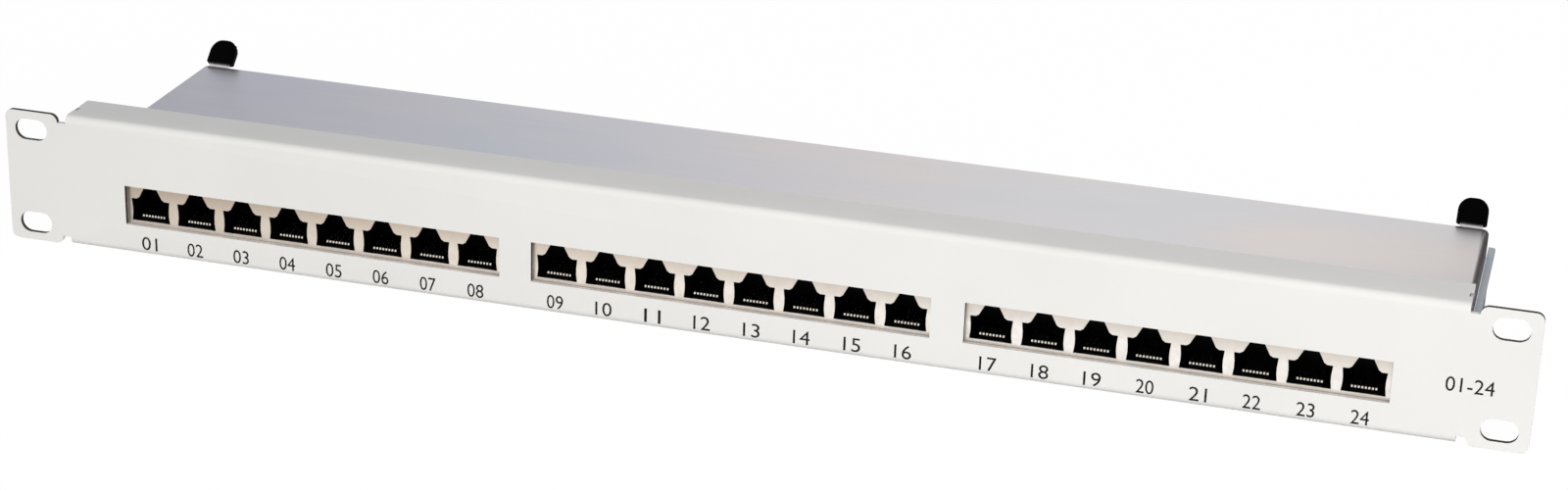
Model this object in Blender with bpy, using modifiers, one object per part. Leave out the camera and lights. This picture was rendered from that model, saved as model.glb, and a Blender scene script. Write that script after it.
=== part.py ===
"""Nineteen-inch rack patch panel: three blocks of shielded sockets, and a tray with a hinged lid behind them.

Lengths are in metres. Depth runs along +Y from the face of the panel, height along +Z from its underside, and
X is zero at its middle. A root empty then moves the assembly forward, to centre its depth on the origin.
"""

import math

import bmesh
import bpy
from mathutils import Matrix, Vector

# Gap between pieces that touch or nest
CLEARANCE = 0.0003

# Front panel: a folded steel sheet, one rack unit high
PANEL_WIDTH = 0.4826
PANEL_HEIGHT = 0.0440
PANEL_SHEET = 0.0015
PANEL_BEND = 0.0023
FLANGE_DEPTH = 0.0160
EAR_WIDTH = 0.0181
EAR_CORNER = 0.0025
RELIEF_WIDTH = 0.0028
RELIEF_DEPTH = 0.0026
SLOT_WIDTH = 0.0110
SLOT_HEIGHT = 0.0070
SLOT_END_FLAT = 0.0003
SLOT_FROM_END = 0.0088
SLOT_FROM_EDGE = 0.0061

# Sockets: three openings with eight ports each
GROUPS = 3
PORTS_PER_GROUP = 8
END_MARGIN = 0.0198
GROUP_GAP = 0.0104
OPENING_SILL = 0.0099
OPENING_HEIGHT = 0.0131
PORT_POST = 0.0028
CAVITY_SILL = 0.0011
CAVITY_HEIGHT = 0.0074
KEYWAY_WIDTH = 0.0084
KEYWAY_TOP_WIDTH = 0.0043
KEYWAY_HEIGHT = 0.0039
KEYWAY_EASE = 0.0006
SPRING_BULGE = 0.0003
SPRING_START = 0.0024
SPRING_LENGTH = 0.0021

# Jack blocks behind the openings
SHIELD_SHEET = 0.0004
SHIELD_LAP = 0.0008
SHIELD_DROP = 0.0013
SHIELD_RISE = 0.0012
JACK_DEPTH = 0.0120
CONTACT_BAR_DEPTH = 0.0022
CONTACTS_PER_PORT = 8
CONTACT_PITCH = 0.00102
CONTACT_WIDTH = 0.00045
CONTACT_THICKNESS = 0.00035
CONTACT_REACH = 0.0094
CONTACT_ROOT_HEIGHT = 0.0027
CONTACT_ROOT_DEPTH = 0.0007
CONTACT_ROOT_LENGTH = 0.0009
CONTACT_ROOT_INSET = 0.0006
CONTACT_SLOPE = math.radians(10.0)

# Circuit boards and their terminal strips
BOARD_THICKNESS = 0.0016
BOARD_SIDE_LAP = 0.0006
BOARD_REAR_MARGIN = 0.0090
IDC_HEIGHT = 0.0158
IDC_DEPTH = 0.0090
IDC_SETBACK = 0.0085
IDC_ROW_GAP = 0.0090
IDC_SLOTS_PER_PORT = 4
IDC_SLOT_WIDTH = 0.0016
IDC_SLOT_DEPTH = 0.0068
IDC_END_WALL = 0.0009
BOARD_SCREW_FROM_END = 0.0080

# Rear tray
TRAY_SHEET = 0.0010
TRAY_BEND = 0.0011
TRAY_DEPTH = 0.0990
TRAY_WALL_HEIGHT = 0.0233
TRAY_SIDE_STEP = 0.0002
TRAY_LIP_WIDTH = 0.0012
TRAY_LIP_CORNER = 0.0011
TRAY_REAR_LIP_HEIGHT = 0.0060
TRAY_REAR_LIP_INSET = 0.0050
TONGUE_FRONT = 0.0040
JOGGLE_RUN = 0.0016
CHEEK_FRONT = 0.0030
CHEEK_TOWER_DEPTH = 0.0080
TENON_START = 0.0064
TENON_LENGTH = 0.0030
BOSS_BASE_RADIUS = 0.0060
BOSS_TOP_RADIUS = 0.0036

# Lid, hinged near its front edge
LID_TOP = 0.0294
LID_SHEET = 0.0010
LID_BEND = 0.0012
LID_SIDE_GAP = 0.0004
LID_SKIRT = 0.0094
LID_OVERHANG = 0.0025
LID_DEPTH = 0.0765
LID_REAR_LIP = 0.0042
LID_REAR_LIP_INSET = 0.0150
HINGE_DEPTH = 0.0240
HINGE_BELOW_TOP = 0.0039
HINGE_EAR_RADIUS = 0.0045
PIN_RADIUS = 0.0015
PIN_HEAD_RADIUS = 0.0030
PIN_HEAD_THICKNESS = 0.0010
PIN_TAIL_RADIUS = 0.0024
PIN_TAIL_THICKNESS = 0.0008
TAB_WIDTH = 0.0072
TAB_LENGTH = 0.0092
TAB_TILT = math.radians(43.0)
TAB_FROM_SIDE = 0.0057
TAB_BEND = 0.0012
TAB_ROOT_LAP = 0.0140
CAP_WALL = 0.0009
CAP_START = 0.0024
CAP_END_WALL = 0.0012
CAP_CORNER = 0.0045
CAP_EDGE = 0.0005
CAP_EDGE_ANGLE = math.radians(60.0)

# Strain-relief comb for the cables
COMB_SHEET = 0.0010
COMB_BEND = 0.0012
COMB_HEIGHT = 0.0100
COMB_FOOT_DEPTH = 0.0080
COMB_FROM_BOARD = 0.0035
COMB_SHELF_DEPTH = 0.0060
COMB_END_INSET = 0.0180
TONGUE_STEM_WIDTH = 0.0052
TONGUE_STEM_LENGTH = 0.0110
TONGUE_HEAD_WIDTH = 0.0092
TONGUE_HEAD_LENGTH = 0.0040
COMB_SCREW_FROM_END = 0.0080

# Screws, rivets and the earth terminal
HEAD_CHAMFER = 0.0006
SCREW_RADIUS = 0.0013
SCREW_HEAD_RADIUS = 0.0027
SCREW_HEAD_HEIGHT = 0.0018
SCREW_SEAT_IN_TRAY = 0.0004
RIVET_RADIUS = 0.0016
RIVET_HEAD_RADIUS = 0.0031
RIVET_HEAD_HEIGHT = 0.0010
RIVET_FROM_FACE = 0.0100
EARTH_RADIUS = 0.0020
EARTH_LENGTH = 0.0110
EARTH_NUT_ACROSS_FLATS = 0.0070
EARTH_NUT_HEIGHT = 0.0032
EARTH_FROM_SIDE = 0.0090
EARTH_FROM_REAR = 0.0130

# Facets of arcs and of turned pieces
ARC_STEP = math.radians(18.0)
TURNED_STEPS = 12
NUT_SIDES = 6
SMOOTH_ANGLE = math.radians(35.0)
WELD_DISTANCE = 1e-6

# A cutter that passes through a sheet is this many times as thick as the sheet, about its middle plane
CUTTER_SHEETS = 4

# Widths that follow from the panel
BODY_WIDTH = PANEL_WIDTH - 2 * (EAR_WIDTH + RELIEF_WIDTH)
OPENING_WIDTH = (BODY_WIDTH - 2 * END_MARGIN - (GROUPS - 1) * GROUP_GAP) / GROUPS
GROUP_PITCH = OPENING_WIDTH + GROUP_GAP
PORT_PITCH = OPENING_WIDTH / PORTS_PER_GROUP
CAVITY_WIDTH = PORT_PITCH - PORT_POST
TRAY_INSIDE = BODY_WIDTH / 2 - TRAY_SHEET + TRAY_SIDE_STEP
LID_SIDE = TRAY_INSIDE - LID_SIDE_GAP

# Heights of the jack blocks and boards
CAVITY_FLOOR = OPENING_SILL + CAVITY_SILL
CAVITY_SHOULDER = CAVITY_FLOOR + CAVITY_HEIGHT
KEYWAY_TOP = CAVITY_SHOULDER + KEYWAY_HEIGHT
SHIELD_BOTTOM = OPENING_SILL - SHIELD_DROP
SHIELD_TOP = OPENING_SILL + OPENING_HEIGHT + SHIELD_RISE
JACK_TOP = SHIELD_TOP - SHIELD_SHEET - CLEARANCE
BOARD_TOP = SHIELD_BOTTOM - CLEARANCE
BOARD_BOTTOM = BOARD_TOP - BOARD_THICKNESS
BOSS_TOP = BOARD_BOTTOM - CLEARANCE
TONGUE_BOTTOM = PANEL_SHEET + CLEARANCE

# Depths behind the face
SHIELD_FACE = PANEL_SHEET + CLEARANCE
JACK_FACE = SHIELD_FACE + SHIELD_SHEET + CLEARANCE
CONTACT_BAR_FACE = JACK_FACE + JACK_DEPTH + CLEARANCE
SHIELD_REAR = CONTACT_BAR_FACE + CONTACT_BAR_DEPTH + CLEARANCE + SHIELD_SHEET
IDC_FRONT = SHIELD_REAR + IDC_SETBACK
IDC_REAR = IDC_FRONT + IDC_DEPTH + IDC_ROW_GAP
BOARD_FRONT = SHIELD_FACE
BOARD_REAR = IDC_REAR + IDC_DEPTH + BOARD_REAR_MARGIN
BOARD_SCREW_DEPTH = IDC_FRONT + IDC_DEPTH + IDC_ROW_GAP / 2
TRAY_START = FLANGE_DEPTH + CLEARANCE
COMB_FRONT = BOARD_REAR + COMB_FROM_BOARD

# Hinge line and the lid's rear edge
HINGE_HEIGHT = LID_TOP - HINGE_BELOW_TOP
LID_FRONT = HINGE_DEPTH - LID_OVERHANG
LID_REAR = LID_FRONT + LID_DEPTH
TAB_ROOT_HEIGHT = LID_TOP - LID_SHEET / 2
CAP_END = TAB_LENGTH + CLEARANCE + CAP_END_WALL
CAP_THICKNESS = LID_SHEET + 2 * (CLEARANCE + CAP_WALL)
CAP_WIDTH = TAB_WIDTH + 2 * (CLEARANCE + CAP_WALL)
TOTAL_DEPTH = LID_REAR + CAP_END * math.cos(TAB_TILT) + CAP_THICKNESS / 2 * math.sin(TAB_TILT)

# Drawing planes: where the two axes of an outline and its thickness point
FRONT = Matrix(((1, 0, 0, 0), (0, 0, -1, 0), (0, 1, 0, 0), (0, 0, 0, 1)))
SIDE = Matrix(((0, 0, 1, 0), (1, 0, 0, 0), (0, 1, 0, 0), (0, 0, 0, 1)))
FLAT = Matrix.Identity(4)


def clear_scene():
    for old in list(bpy.data.objects):
        bpy.data.objects.remove(old, do_unlink=True)


def new_collection(name):
    collection = bpy.data.collections.new(name)
    bpy.context.scene.collection.children.link(collection)
    return collection


def new_material(name, colour, roughness, metallic=0.0):
    material = bpy.data.materials.new(name)
    material.use_nodes = True
    shader = material.node_tree.nodes["Principled BSDF"]
    shader.inputs["Base Color"].default_value = (*colour, 1.0)
    shader.inputs["Roughness"].default_value = roughness
    shader.inputs["Metallic"].default_value = metallic
    return material


clear_scene()
PARTS = new_collection("patch_panel")
CUTTERS = new_collection("patch_panel_cutters")

ROOT = bpy.data.objects.new("panel_root", None)
ROOT.location = (0.0, -TOTAL_DEPTH / 2, 0.0)
PARTS.objects.link(ROOT)

LID_HINGE = bpy.data.objects.new("lid_hinge", None)
LID_HINGE.location = (0.0, HINGE_DEPTH, HINGE_HEIGHT)
LID_HINGE.parent = ROOT
PARTS.objects.link(LID_HINGE)

POWDER_COAT = new_material("light_grey_powder_coat", (0.80, 0.80, 0.78), 0.45)
ZINC = new_material("zinc_plated_steel", (0.56, 0.55, 0.57), 0.35, 0.9)
SHIELD_METAL = new_material("tinned_shield", (0.66, 0.63, 0.60), 0.30, 1.0)
BLACK_PLASTIC = new_material("black_plastic", (0.02, 0.02, 0.02), 0.45)
CONTACT_METAL = new_material("gold_plated_contact", (0.85, 0.66, 0.36), 0.25, 1.0)
BOARD_GREEN = new_material("solder_mask", (0.03, 0.16, 0.08), 0.40)
TERMINAL_PLASTIC = new_material("terminal_plastic", (0.78, 0.77, 0.72), 0.50)
VINYL = new_material("black_vinyl", (0.015, 0.015, 0.015), 0.50)
STEEL = new_material("bright_steel", (0.62, 0.61, 0.58), 0.30, 1.0)


def add_object(name, mesh, material, parent=ROOT, collection=PARTS):
    """Put a mesh, drawn in the panel's own coordinates, under its parent empty."""
    if parent is LID_HINGE:
        mesh.transform(Matrix.Translation(-LID_HINGE.location))
    mesh.materials.clear()
    mesh.materials.append(material)
    mesh.shade_smooth()
    mesh.set_sharp_from_angle(angle=SMOOTH_ANGLE)
    new = bpy.data.objects.new(name, mesh)
    collection.objects.link(new)
    new.parent = parent
    return new


def add_cutter(name, mesh, parent=ROOT):
    cutter = add_object(name, mesh, STEEL, parent, CUTTERS)
    cutter.hide_render = True
    cutter.display_type = "WIRE"
    return cutter


def add_cut(target, tool):
    modifier = target.modifiers.new(tool.name, "BOOLEAN")
    modifier.operation = "DIFFERENCE"
    modifier.object = tool


def add_joint(target, tool):
    """Weld a second fold of sheet to the first. Faces in one plane defeat the exact solver."""
    modifier = target.modifiers.new(tool.name, "BOOLEAN")
    modifier.operation = "UNION"
    modifier.solver = "MANIFOLD"
    modifier.object = tool


def evaluated_mesh(source):
    """The mesh that an object's curve or modifiers give, welded, with its faces pointing out."""
    graph = bpy.context.evaluated_depsgraph_get()
    mesh = bpy.data.meshes.new_from_object(source.evaluated_get(graph))
    bpy.data.objects.remove(source, do_unlink=True)
    shape = bmesh.new()
    shape.from_mesh(mesh)
    bmesh.ops.remove_doubles(shape, verts=shape.verts, dist=WELD_DISTANCE)
    bmesh.ops.recalc_face_normals(shape, faces=shape.faces)
    shape.to_mesh(mesh)
    shape.free()
    return mesh


def joined(meshes):
    """Several separate solids in one mesh, for use as one cutter."""
    shape = bmesh.new()
    for mesh in meshes:
        shape.from_mesh(mesh)
    result = bpy.data.meshes.new("joined")
    shape.to_mesh(result)
    shape.free()
    return result


def left_of(direction):
    return Vector((-direction.y, direction.x))


def rounded_corner(before, corner, after, radius):
    """Points on the arc that rounds a corner of a path, each with the path's left-hand normal there."""
    along = (corner - before).normalized()
    onward = (after - corner).normalized()
    turn = math.atan2(along.cross(onward), along.dot(onward))
    start = corner - along * radius * math.tan(abs(turn) / 2)
    centre = start + left_of(along) * math.copysign(radius, turn)
    steps = max(1, round(abs(turn) / ARC_STEP))
    arc = []
    for step in range(steps + 1):
        spin = Matrix.Rotation(turn * step / steps, 2)
        arc.append((centre + spin @ (start - centre), spin @ left_of(along)))
    return arc


def rounded_loop(corners, radius):
    """A closed outline with every corner rounded."""
    points = [Vector(corner) for corner in corners]
    outline = []
    for index, corner in enumerate(points):
        after = points[(index + 1) % len(points)]
        outline += [point for point, _ in rounded_corner(points[index - 1], corner, after, radius)]
    return outline


def folded_section(corners, bend, sheet):
    """Closed outline of a folded sheet, with its middle line through the corners and bends of one radius."""
    points = [Vector(corner) for corner in corners]
    first = left_of((points[1] - points[0]).normalized())
    last = left_of((points[-1] - points[-2]).normalized())
    middle = [(points[0], first)]
    for before, corner, after in zip(points, points[1:], points[2:]):
        middle += rounded_corner(before, corner, after, bend)
    middle.append((points[-1], last))
    left_side = [point + normal * sheet / 2 for point, normal in middle]
    right_side = [point - normal * sheet / 2 for point, normal in middle]
    return left_side + right_side[::-1]


def circle(u, v, radius, steps=TURNED_STEPS):
    """A round outline. Its flats lie on the radius, so a hole never comes out tighter than stated."""
    reach = radius / math.cos(math.pi / steps)
    angles = [2 * math.pi * (step + 0.5) / steps for step in range(steps)]
    return [(u + reach * math.cos(angle), v + reach * math.sin(angle)) for angle in angles]


def rectangle(u_low, v_low, u_high, v_high):
    return [(u_low, v_low), (u_high, v_low), (u_high, v_high), (u_low, v_high)]


def plate_mesh(loops, thickness, plane, middle=(0.0, 0.0, 0.0)):
    """Flat outlines, with any holes among them, given a thickness about a drawing plane through middle."""
    curve = bpy.data.curves.new("outline", "CURVE")
    curve.dimensions = "2D"
    curve.fill_mode = "BOTH"
    curve.extrude = thickness / 2
    for loop in loops:
        spline = curve.splines.new("POLY")
        spline.points.add(len(loop) - 1)
        for point, (u, v) in zip(spline.points, loop):
            point.co = (u, v, 0.0, 1.0)
        spline.use_cyclic_u = True
    drawing = bpy.data.objects.new("outline", curve)
    CUTTERS.objects.link(drawing)
    mesh = evaluated_mesh(drawing)
    mesh.transform(Matrix.Translation(middle) @ plane)
    return mesh


def box_mesh(low, high):
    shape = bmesh.new()
    bmesh.ops.create_cube(shape, size=1.0)
    size = [top - bottom for bottom, top in zip(low, high)]
    middle = [(top + bottom) / 2 for bottom, top in zip(low, high)]
    mesh = bpy.data.meshes.new("box")
    shape.to_mesh(mesh)
    shape.free()
    mesh.transform(Matrix.Translation(middle) @ Matrix.Diagonal((*size, 1.0)))
    return mesh


def turned_mesh(profile, place, steps=TURNED_STEPS):
    """A profile of (radius, height) points, from top to bottom, turned about the Z axis and then placed."""
    mesh = bpy.data.meshes.new("profile")
    points = [(radius, 0.0, height) for radius, height in profile]
    edges = [(index, index + 1) for index in range(len(points) - 1)]
    mesh.from_pydata(points, edges, [])
    lathe = bpy.data.objects.new("profile", mesh)
    CUTTERS.objects.link(lathe)
    screw = lathe.modifiers.new("turn", "SCREW")
    screw.steps = steps
    screw.render_steps = steps
    screw.use_merge_vertices = True
    screw.merge_threshold = WELD_DISTANCE
    turned = evaluated_mesh(lathe)
    turned.transform(place)
    return turned


def headed_pin_mesh(head_radius, head_height, radius, length, place):
    """A screw or rivet with its seat at zero height: the head above it, the shank below."""
    profile = [
        (0.0, head_height),
        (head_radius - HEAD_CHAMFER, head_height),
        (head_radius, head_height - HEAD_CHAMFER),
        (head_radius, 0.0),
        (radius, 0.0),
        (radius, -length),
        (0.0, -length),
    ]
    return turned_mesh(profile, place)


def group_centre(group):
    return (group - (GROUPS - 1) / 2) * GROUP_PITCH


def port_centre(group, port):
    return group_centre(group) + (port - (PORTS_PER_GROUP - 1) / 2) * PORT_PITCH


def board_screw_places():
    """The two screws of each board stand between its rows of terminals, near its ends."""
    reach = OPENING_WIDTH / 2 - BOARD_SCREW_FROM_END
    middles = [group_centre(group) for group in range(GROUPS)]
    return [(middle + side * reach, BOARD_SCREW_DEPTH) for middle in middles for side in (-1, 1)]


def comb_reach():
    return TRAY_INSIDE - COMB_END_INSET


def comb_screw_places():
    reach = comb_reach() - COMB_SCREW_FROM_END
    return [(side * reach, COMB_FRONT + COMB_FOOT_DEPTH / 2) for side in (-1, 1)]


def rivet_places():
    return [(group_centre(group), RIVET_FROM_FACE) for group in range(GROUPS)]


def earth_place():
    return (-(TRAY_INSIDE - EARTH_FROM_SIDE), TRAY_DEPTH - EARTH_FROM_REAR)


def round_cutter(places, radius, low, high):
    """Upright holes of one radius at several places, as one cutter mesh."""
    loops = [circle(x, y, radius) for x, y in places]
    return plate_mesh(loops, high - low, FLAT, (0.0, 0.0, (low + high) / 2))


def ear_mesh(side):
    """A rack ear with its two slots, lapping onto the flat of the panel between the bend reliefs."""
    inner = BODY_WIDTH / 2 - RELIEF_WIDTH
    shoulder = PANEL_WIDTH / 2 - EAR_WIDTH
    outer = PANEL_WIDTH / 2
    upper = PANEL_HEIGHT - RELIEF_DEPTH
    outline = [Vector((inner, RELIEF_DEPTH)), Vector((shoulder, RELIEF_DEPTH))]
    outline += rounded_loop(rectangle(shoulder, 0.0, outer, PANEL_HEIGHT), EAR_CORNER)
    outline += [Vector((shoulder, upper)), Vector((inner, upper))]
    slots = []
    for height in (SLOT_FROM_EDGE, PANEL_HEIGHT - SLOT_FROM_EDGE):
        left = outer - SLOT_FROM_END - SLOT_WIDTH / 2
        bottom = height - SLOT_HEIGHT / 2
        corners = rectangle(left, bottom, left + SLOT_WIDTH, bottom + SLOT_HEIGHT)
        slots.append(rounded_loop(corners, (SLOT_HEIGHT - SLOT_END_FLAT) / 2))
    loops = [[(side * u, v) for u, v in loop] for loop in [outline, *slots]]
    return plate_mesh(loops, PANEL_SHEET, FRONT, (0.0, PANEL_SHEET / 2, 0.0))


def build_front_panel():
    half = PANEL_SHEET / 2
    section = folded_section(
        [
            (FLANGE_DEPTH, half),
            (half, half),
            (half, PANEL_HEIGHT - half),
            (FLANGE_DEPTH, PANEL_HEIGHT - half),
        ],
        PANEL_BEND - half,
        PANEL_SHEET,
    )
    panel = add_object("front_panel", plate_mesh([section], BODY_WIDTH, SIDE), POWDER_COAT)
    for name, side in (("left_ear", -1), ("right_ear", 1)):
        add_joint(panel, add_cutter(name, ear_mesh(side)))
    windows = []
    for group in range(GROUPS):
        left = group_centre(group) - OPENING_WIDTH / 2
        windows.append(rectangle(left, OPENING_SILL, left + OPENING_WIDTH, OPENING_SILL + OPENING_HEIGHT))
    openings = add_cutter("socket_openings", plate_mesh(windows, CUTTER_SHEETS * PANEL_SHEET, FRONT))
    add_cut(panel, openings)
    notch_start = TENON_START - CLEARANCE
    notch_end = TENON_START + TENON_LENGTH + CLEARANCE
    mortises = []
    for side in (-1, 1):
        near = side * (TRAY_INSIDE - CLEARANCE)
        far = side * (BODY_WIDTH / 2 + PANEL_SHEET)
        mortises.append(rectangle(min(near, far), notch_start, max(near, far), notch_end))
    notches = plate_mesh(mortises, CUTTER_SHEETS * PANEL_SHEET, FLAT, (0.0, 0.0, PANEL_HEIGHT))
    add_cut(panel, add_cutter("flange_notches", notches))
    rivets = round_cutter(rivet_places(), RIVET_RADIUS + CLEARANCE, -PANEL_SHEET, 2 * PANEL_SHEET)
    add_cut(panel, add_cutter("flange_rivet_holes", rivets))


def cheek_mesh(side):
    """The front of a tray wall: it stands on one flange, carries the hinge ear and keys into the other."""
    tower_rear = CHEEK_FRONT + CHEEK_TOWER_DEPTH
    tower_top = PANEL_HEIGHT - PANEL_SHEET - CLEARANCE
    tenon_top = PANEL_HEIGHT - CLEARANCE
    tenon_end = TENON_START + TENON_LENGTH
    rear = HINGE_DEPTH + HINGE_EAR_RADIUS + TRAY_SHEET
    outline = [
        (CHEEK_FRONT, TONGUE_BOTTOM),
        (TRAY_START, TONGUE_BOTTOM),
        (TRAY_START + JOGGLE_RUN, 0.0),
        (rear, 0.0),
        (rear, TRAY_WALL_HEIGHT),
        (HINGE_DEPTH + HINGE_EAR_RADIUS, TRAY_WALL_HEIGHT),
    ]
    steps = round(math.pi / ARC_STEP)
    for step in range(steps + 1):
        angle = math.pi * step / steps
        along = HINGE_EAR_RADIUS * math.cos(angle)
        above = HINGE_EAR_RADIUS * math.sin(angle)
        outline.append((HINGE_DEPTH + along, HINGE_HEIGHT + above))
    outline += [
        (HINGE_DEPTH - HINGE_EAR_RADIUS, TRAY_WALL_HEIGHT),
        (tower_rear, TRAY_WALL_HEIGHT),
        (tower_rear, tower_top),
        (tenon_end, tower_top),
        (tenon_end, tenon_top),
        (TENON_START, tenon_top),
        (TENON_START, tower_top),
        (CHEEK_FRONT, tower_top),
    ]
    pin_hole = circle(HINGE_DEPTH, HINGE_HEIGHT, PIN_RADIUS + CLEARANCE)
    middle = side * (TRAY_INSIDE + TRAY_SHEET / 2)
    return plate_mesh([outline, pin_hole], TRAY_SHEET, SIDE, (middle, 0.0, 0.0))


def build_rear_tray():
    half = TRAY_SHEET / 2
    wall = TRAY_INSIDE + half
    channel_start = HINGE_DEPTH
    channel = folded_section(
        [(-wall, TRAY_WALL_HEIGHT), (-wall, half), (wall, half), (wall, TRAY_WALL_HEIGHT)],
        TRAY_BEND,
        TRAY_SHEET,
    )
    middle = (0.0, (channel_start + TRAY_DEPTH) / 2, 0.0)
    tray = add_object("rear_tray", plate_mesh([channel], TRAY_DEPTH - channel_start, FRONT, middle), ZINC)

    tongue = folded_section(
        [
            (channel_start + JOGGLE_RUN, half),
            (TRAY_START + JOGGLE_RUN, half),
            (TRAY_START, TONGUE_BOTTOM + half),
            (TONGUE_FRONT, TONGUE_BOTTOM + half),
        ],
        half,
        TRAY_SHEET,
    )
    add_joint(tray, add_cutter("tray_tongue", plate_mesh([tongue], 2 * wall, SIDE)))
    for name, side in (("left_cheek", -1), ("right_cheek", 1)):
        add_joint(tray, add_cutter(name, cheek_mesh(side)))

    lip_start = HINGE_DEPTH + HINGE_EAR_RADIUS + 2 * TRAY_SHEET
    for name, side in (("left_lip", -1), ("right_lip", 1)):
        near = side * wall
        far = side * (TRAY_INSIDE + TRAY_SHEET + TRAY_LIP_WIDTH)
        outer_start = Vector((far, lip_start))
        inner_end = Vector((near, TRAY_DEPTH))
        tip = rounded_corner(outer_start, Vector((far, TRAY_DEPTH)), inner_end, TRAY_LIP_CORNER)
        outline = [Vector((near, lip_start)), outer_start, *(point for point, _ in tip), inner_end]
        height = TRAY_WALL_HEIGHT - half
        add_joint(tray, add_cutter(name, plate_mesh([outline], TRAY_SHEET, FLAT, (0.0, 0.0, height))))

    rear_reach = TRAY_INSIDE - TRAY_REAR_LIP_INSET
    low = (-rear_reach, TRAY_DEPTH - TRAY_SHEET, half)
    rear_lip = box_mesh(low, (rear_reach, TRAY_DEPTH, TRAY_REAR_LIP_HEIGHT))
    add_joint(tray, add_cutter("tray_rear_lip", rear_lip))

    bosses = []
    for x, y in board_screw_places():
        profile = [(0.0, BOSS_TOP), (BOSS_TOP_RADIUS, BOSS_TOP), (BOSS_BASE_RADIUS, half), (0.0, half)]
        bosses.append(turned_mesh(profile, Matrix.Translation((x, y, 0.0))))
    add_joint(tray, add_cutter("board_bosses", joined(bosses)))

    screws = board_screw_places() + comb_screw_places()
    screw_holes = round_cutter(screws, SCREW_RADIUS + CLEARANCE, -TRAY_SHEET, BOSS_TOP + TRAY_SHEET)
    add_cut(tray, add_cutter("tray_screw_holes", screw_holes))
    rivets = round_cutter(rivet_places(), RIVET_RADIUS + CLEARANCE, 0.0, TONGUE_BOTTOM + 2 * TRAY_SHEET)
    add_cut(tray, add_cutter("tongue_rivet_holes", rivets))
    earth = round_cutter([earth_place()], EARTH_RADIUS + CLEARANCE, -TRAY_SHEET, 2 * TRAY_SHEET)
    add_cut(tray, add_cutter("earth_hole", earth))


def tab_middle(side):
    return side * (LID_SIDE - TAB_FROM_SIDE)


def build_lid():
    half = LID_SHEET / 2
    wall = LID_SIDE - half
    skirt_bottom = LID_TOP - LID_SKIRT
    section = folded_section(
        [(-wall, skirt_bottom), (-wall, LID_TOP - half), (wall, LID_TOP - half), (wall, skirt_bottom)],
        LID_BEND,
        LID_SHEET,
    )
    middle = (0.0, (LID_FRONT + LID_REAR) / 2, 0.0)
    lid = add_object("lid", plate_mesh([section], LID_DEPTH, FRONT, middle), ZINC, LID_HINGE)

    tab = folded_section(
        [
            (LID_REAR - TAB_ROOT_LAP, TAB_ROOT_HEIGHT),
            (LID_REAR, TAB_ROOT_HEIGHT),
            (LID_REAR + TAB_LENGTH * math.cos(TAB_TILT), TAB_ROOT_HEIGHT + TAB_LENGTH * math.sin(TAB_TILT)),
        ],
        TAB_BEND,
        LID_SHEET,
    )
    for name, side in (("left_tab", -1), ("right_tab", 1)):
        mesh = plate_mesh([tab], TAB_WIDTH, SIDE, (tab_middle(side), 0.0, 0.0))
        add_joint(lid, add_cutter(name, mesh, LID_HINGE))

    lip_reach = LID_SIDE - LID_REAR_LIP_INSET
    low = (-lip_reach, LID_REAR - LID_SHEET, LID_TOP - LID_REAR_LIP)
    lip = box_mesh(low, (lip_reach, LID_REAR, LID_TOP - half))
    add_joint(lid, add_cutter("lid_rear_lip", lip, LID_HINGE))

    pin_hole = circle(HINGE_DEPTH, HINGE_HEIGHT, PIN_RADIUS + CLEARANCE)
    bore = plate_mesh([pin_hole], 2 * (LID_SIDE + LID_SHEET), SIDE)
    add_cut(lid, add_cutter("lid_pin_bore", bore, LID_HINGE))


def build_tab_cap(name, side):
    """A dipped vinyl cap: a flat round-ended sleeve with a pocket that takes the lid's tab."""
    half = CAP_WIDTH / 2
    corners = rectangle(-half, CAP_START, half, CAP_END)
    near_left, near_right, far_right, far_left = [Vector(corner) for corner in corners]
    outline = [near_right]
    outline += [point for point, _ in rounded_corner(near_right, far_right, far_left, CAP_CORNER)]
    outline += [point for point, _ in rounded_corner(far_right, far_left, near_left, CAP_CORNER)]
    outline.append(near_left)
    pocket_half = TAB_WIDTH / 2 + CLEARANCE
    pocket = rectangle(-pocket_half, CAP_START - CAP_WALL, pocket_half, TAB_LENGTH + CLEARANCE)
    root = Matrix.Translation((tab_middle(side), LID_REAR, TAB_ROOT_HEIGHT))
    root @= Matrix.Rotation(TAB_TILT, 4, "X")
    cap_mesh = plate_mesh([outline], CAP_THICKNESS, FLAT)
    cap_mesh.transform(root)
    pocket_mesh = plate_mesh([pocket], LID_SHEET + 2 * CLEARANCE, FLAT)
    pocket_mesh.transform(root)
    cap = add_object(name, cap_mesh, VINYL, LID_HINGE)
    soften = cap.modifiers.new("soft_edges", "BEVEL")
    soften.width = CAP_EDGE
    soften.segments = 1
    soften.limit_method = "ANGLE"
    soften.angle_limit = CAP_EDGE_ANGLE
    add_cut(cap, add_cutter(name + "_pocket", pocket_mesh, LID_HINGE))


def build_hinge_pin(name, side):
    """A shoulder rivet: head outside the tray's cheek, shank through cheek and lid, tail inside the skirt."""
    outside = TRAY_INSIDE + TRAY_SHEET + CLEARANCE
    inside = LID_SIDE - LID_SHEET - CLEARANCE
    profile = [
        (0.0, outside + PIN_HEAD_THICKNESS),
        (PIN_HEAD_RADIUS, outside + PIN_HEAD_THICKNESS),
        (PIN_HEAD_RADIUS, outside),
        (PIN_RADIUS, outside),
        (PIN_RADIUS, inside),
        (PIN_TAIL_RADIUS, inside),
        (PIN_TAIL_RADIUS, inside - PIN_TAIL_THICKNESS),
        (0.0, inside - PIN_TAIL_THICKNESS),
    ]
    place = Matrix.Translation((0.0, HINGE_DEPTH, HINGE_HEIGHT)) @ Matrix.Rotation(side * math.pi / 2, 4, "Y")
    add_object(name, turned_mesh(profile, place), STEEL)


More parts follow.
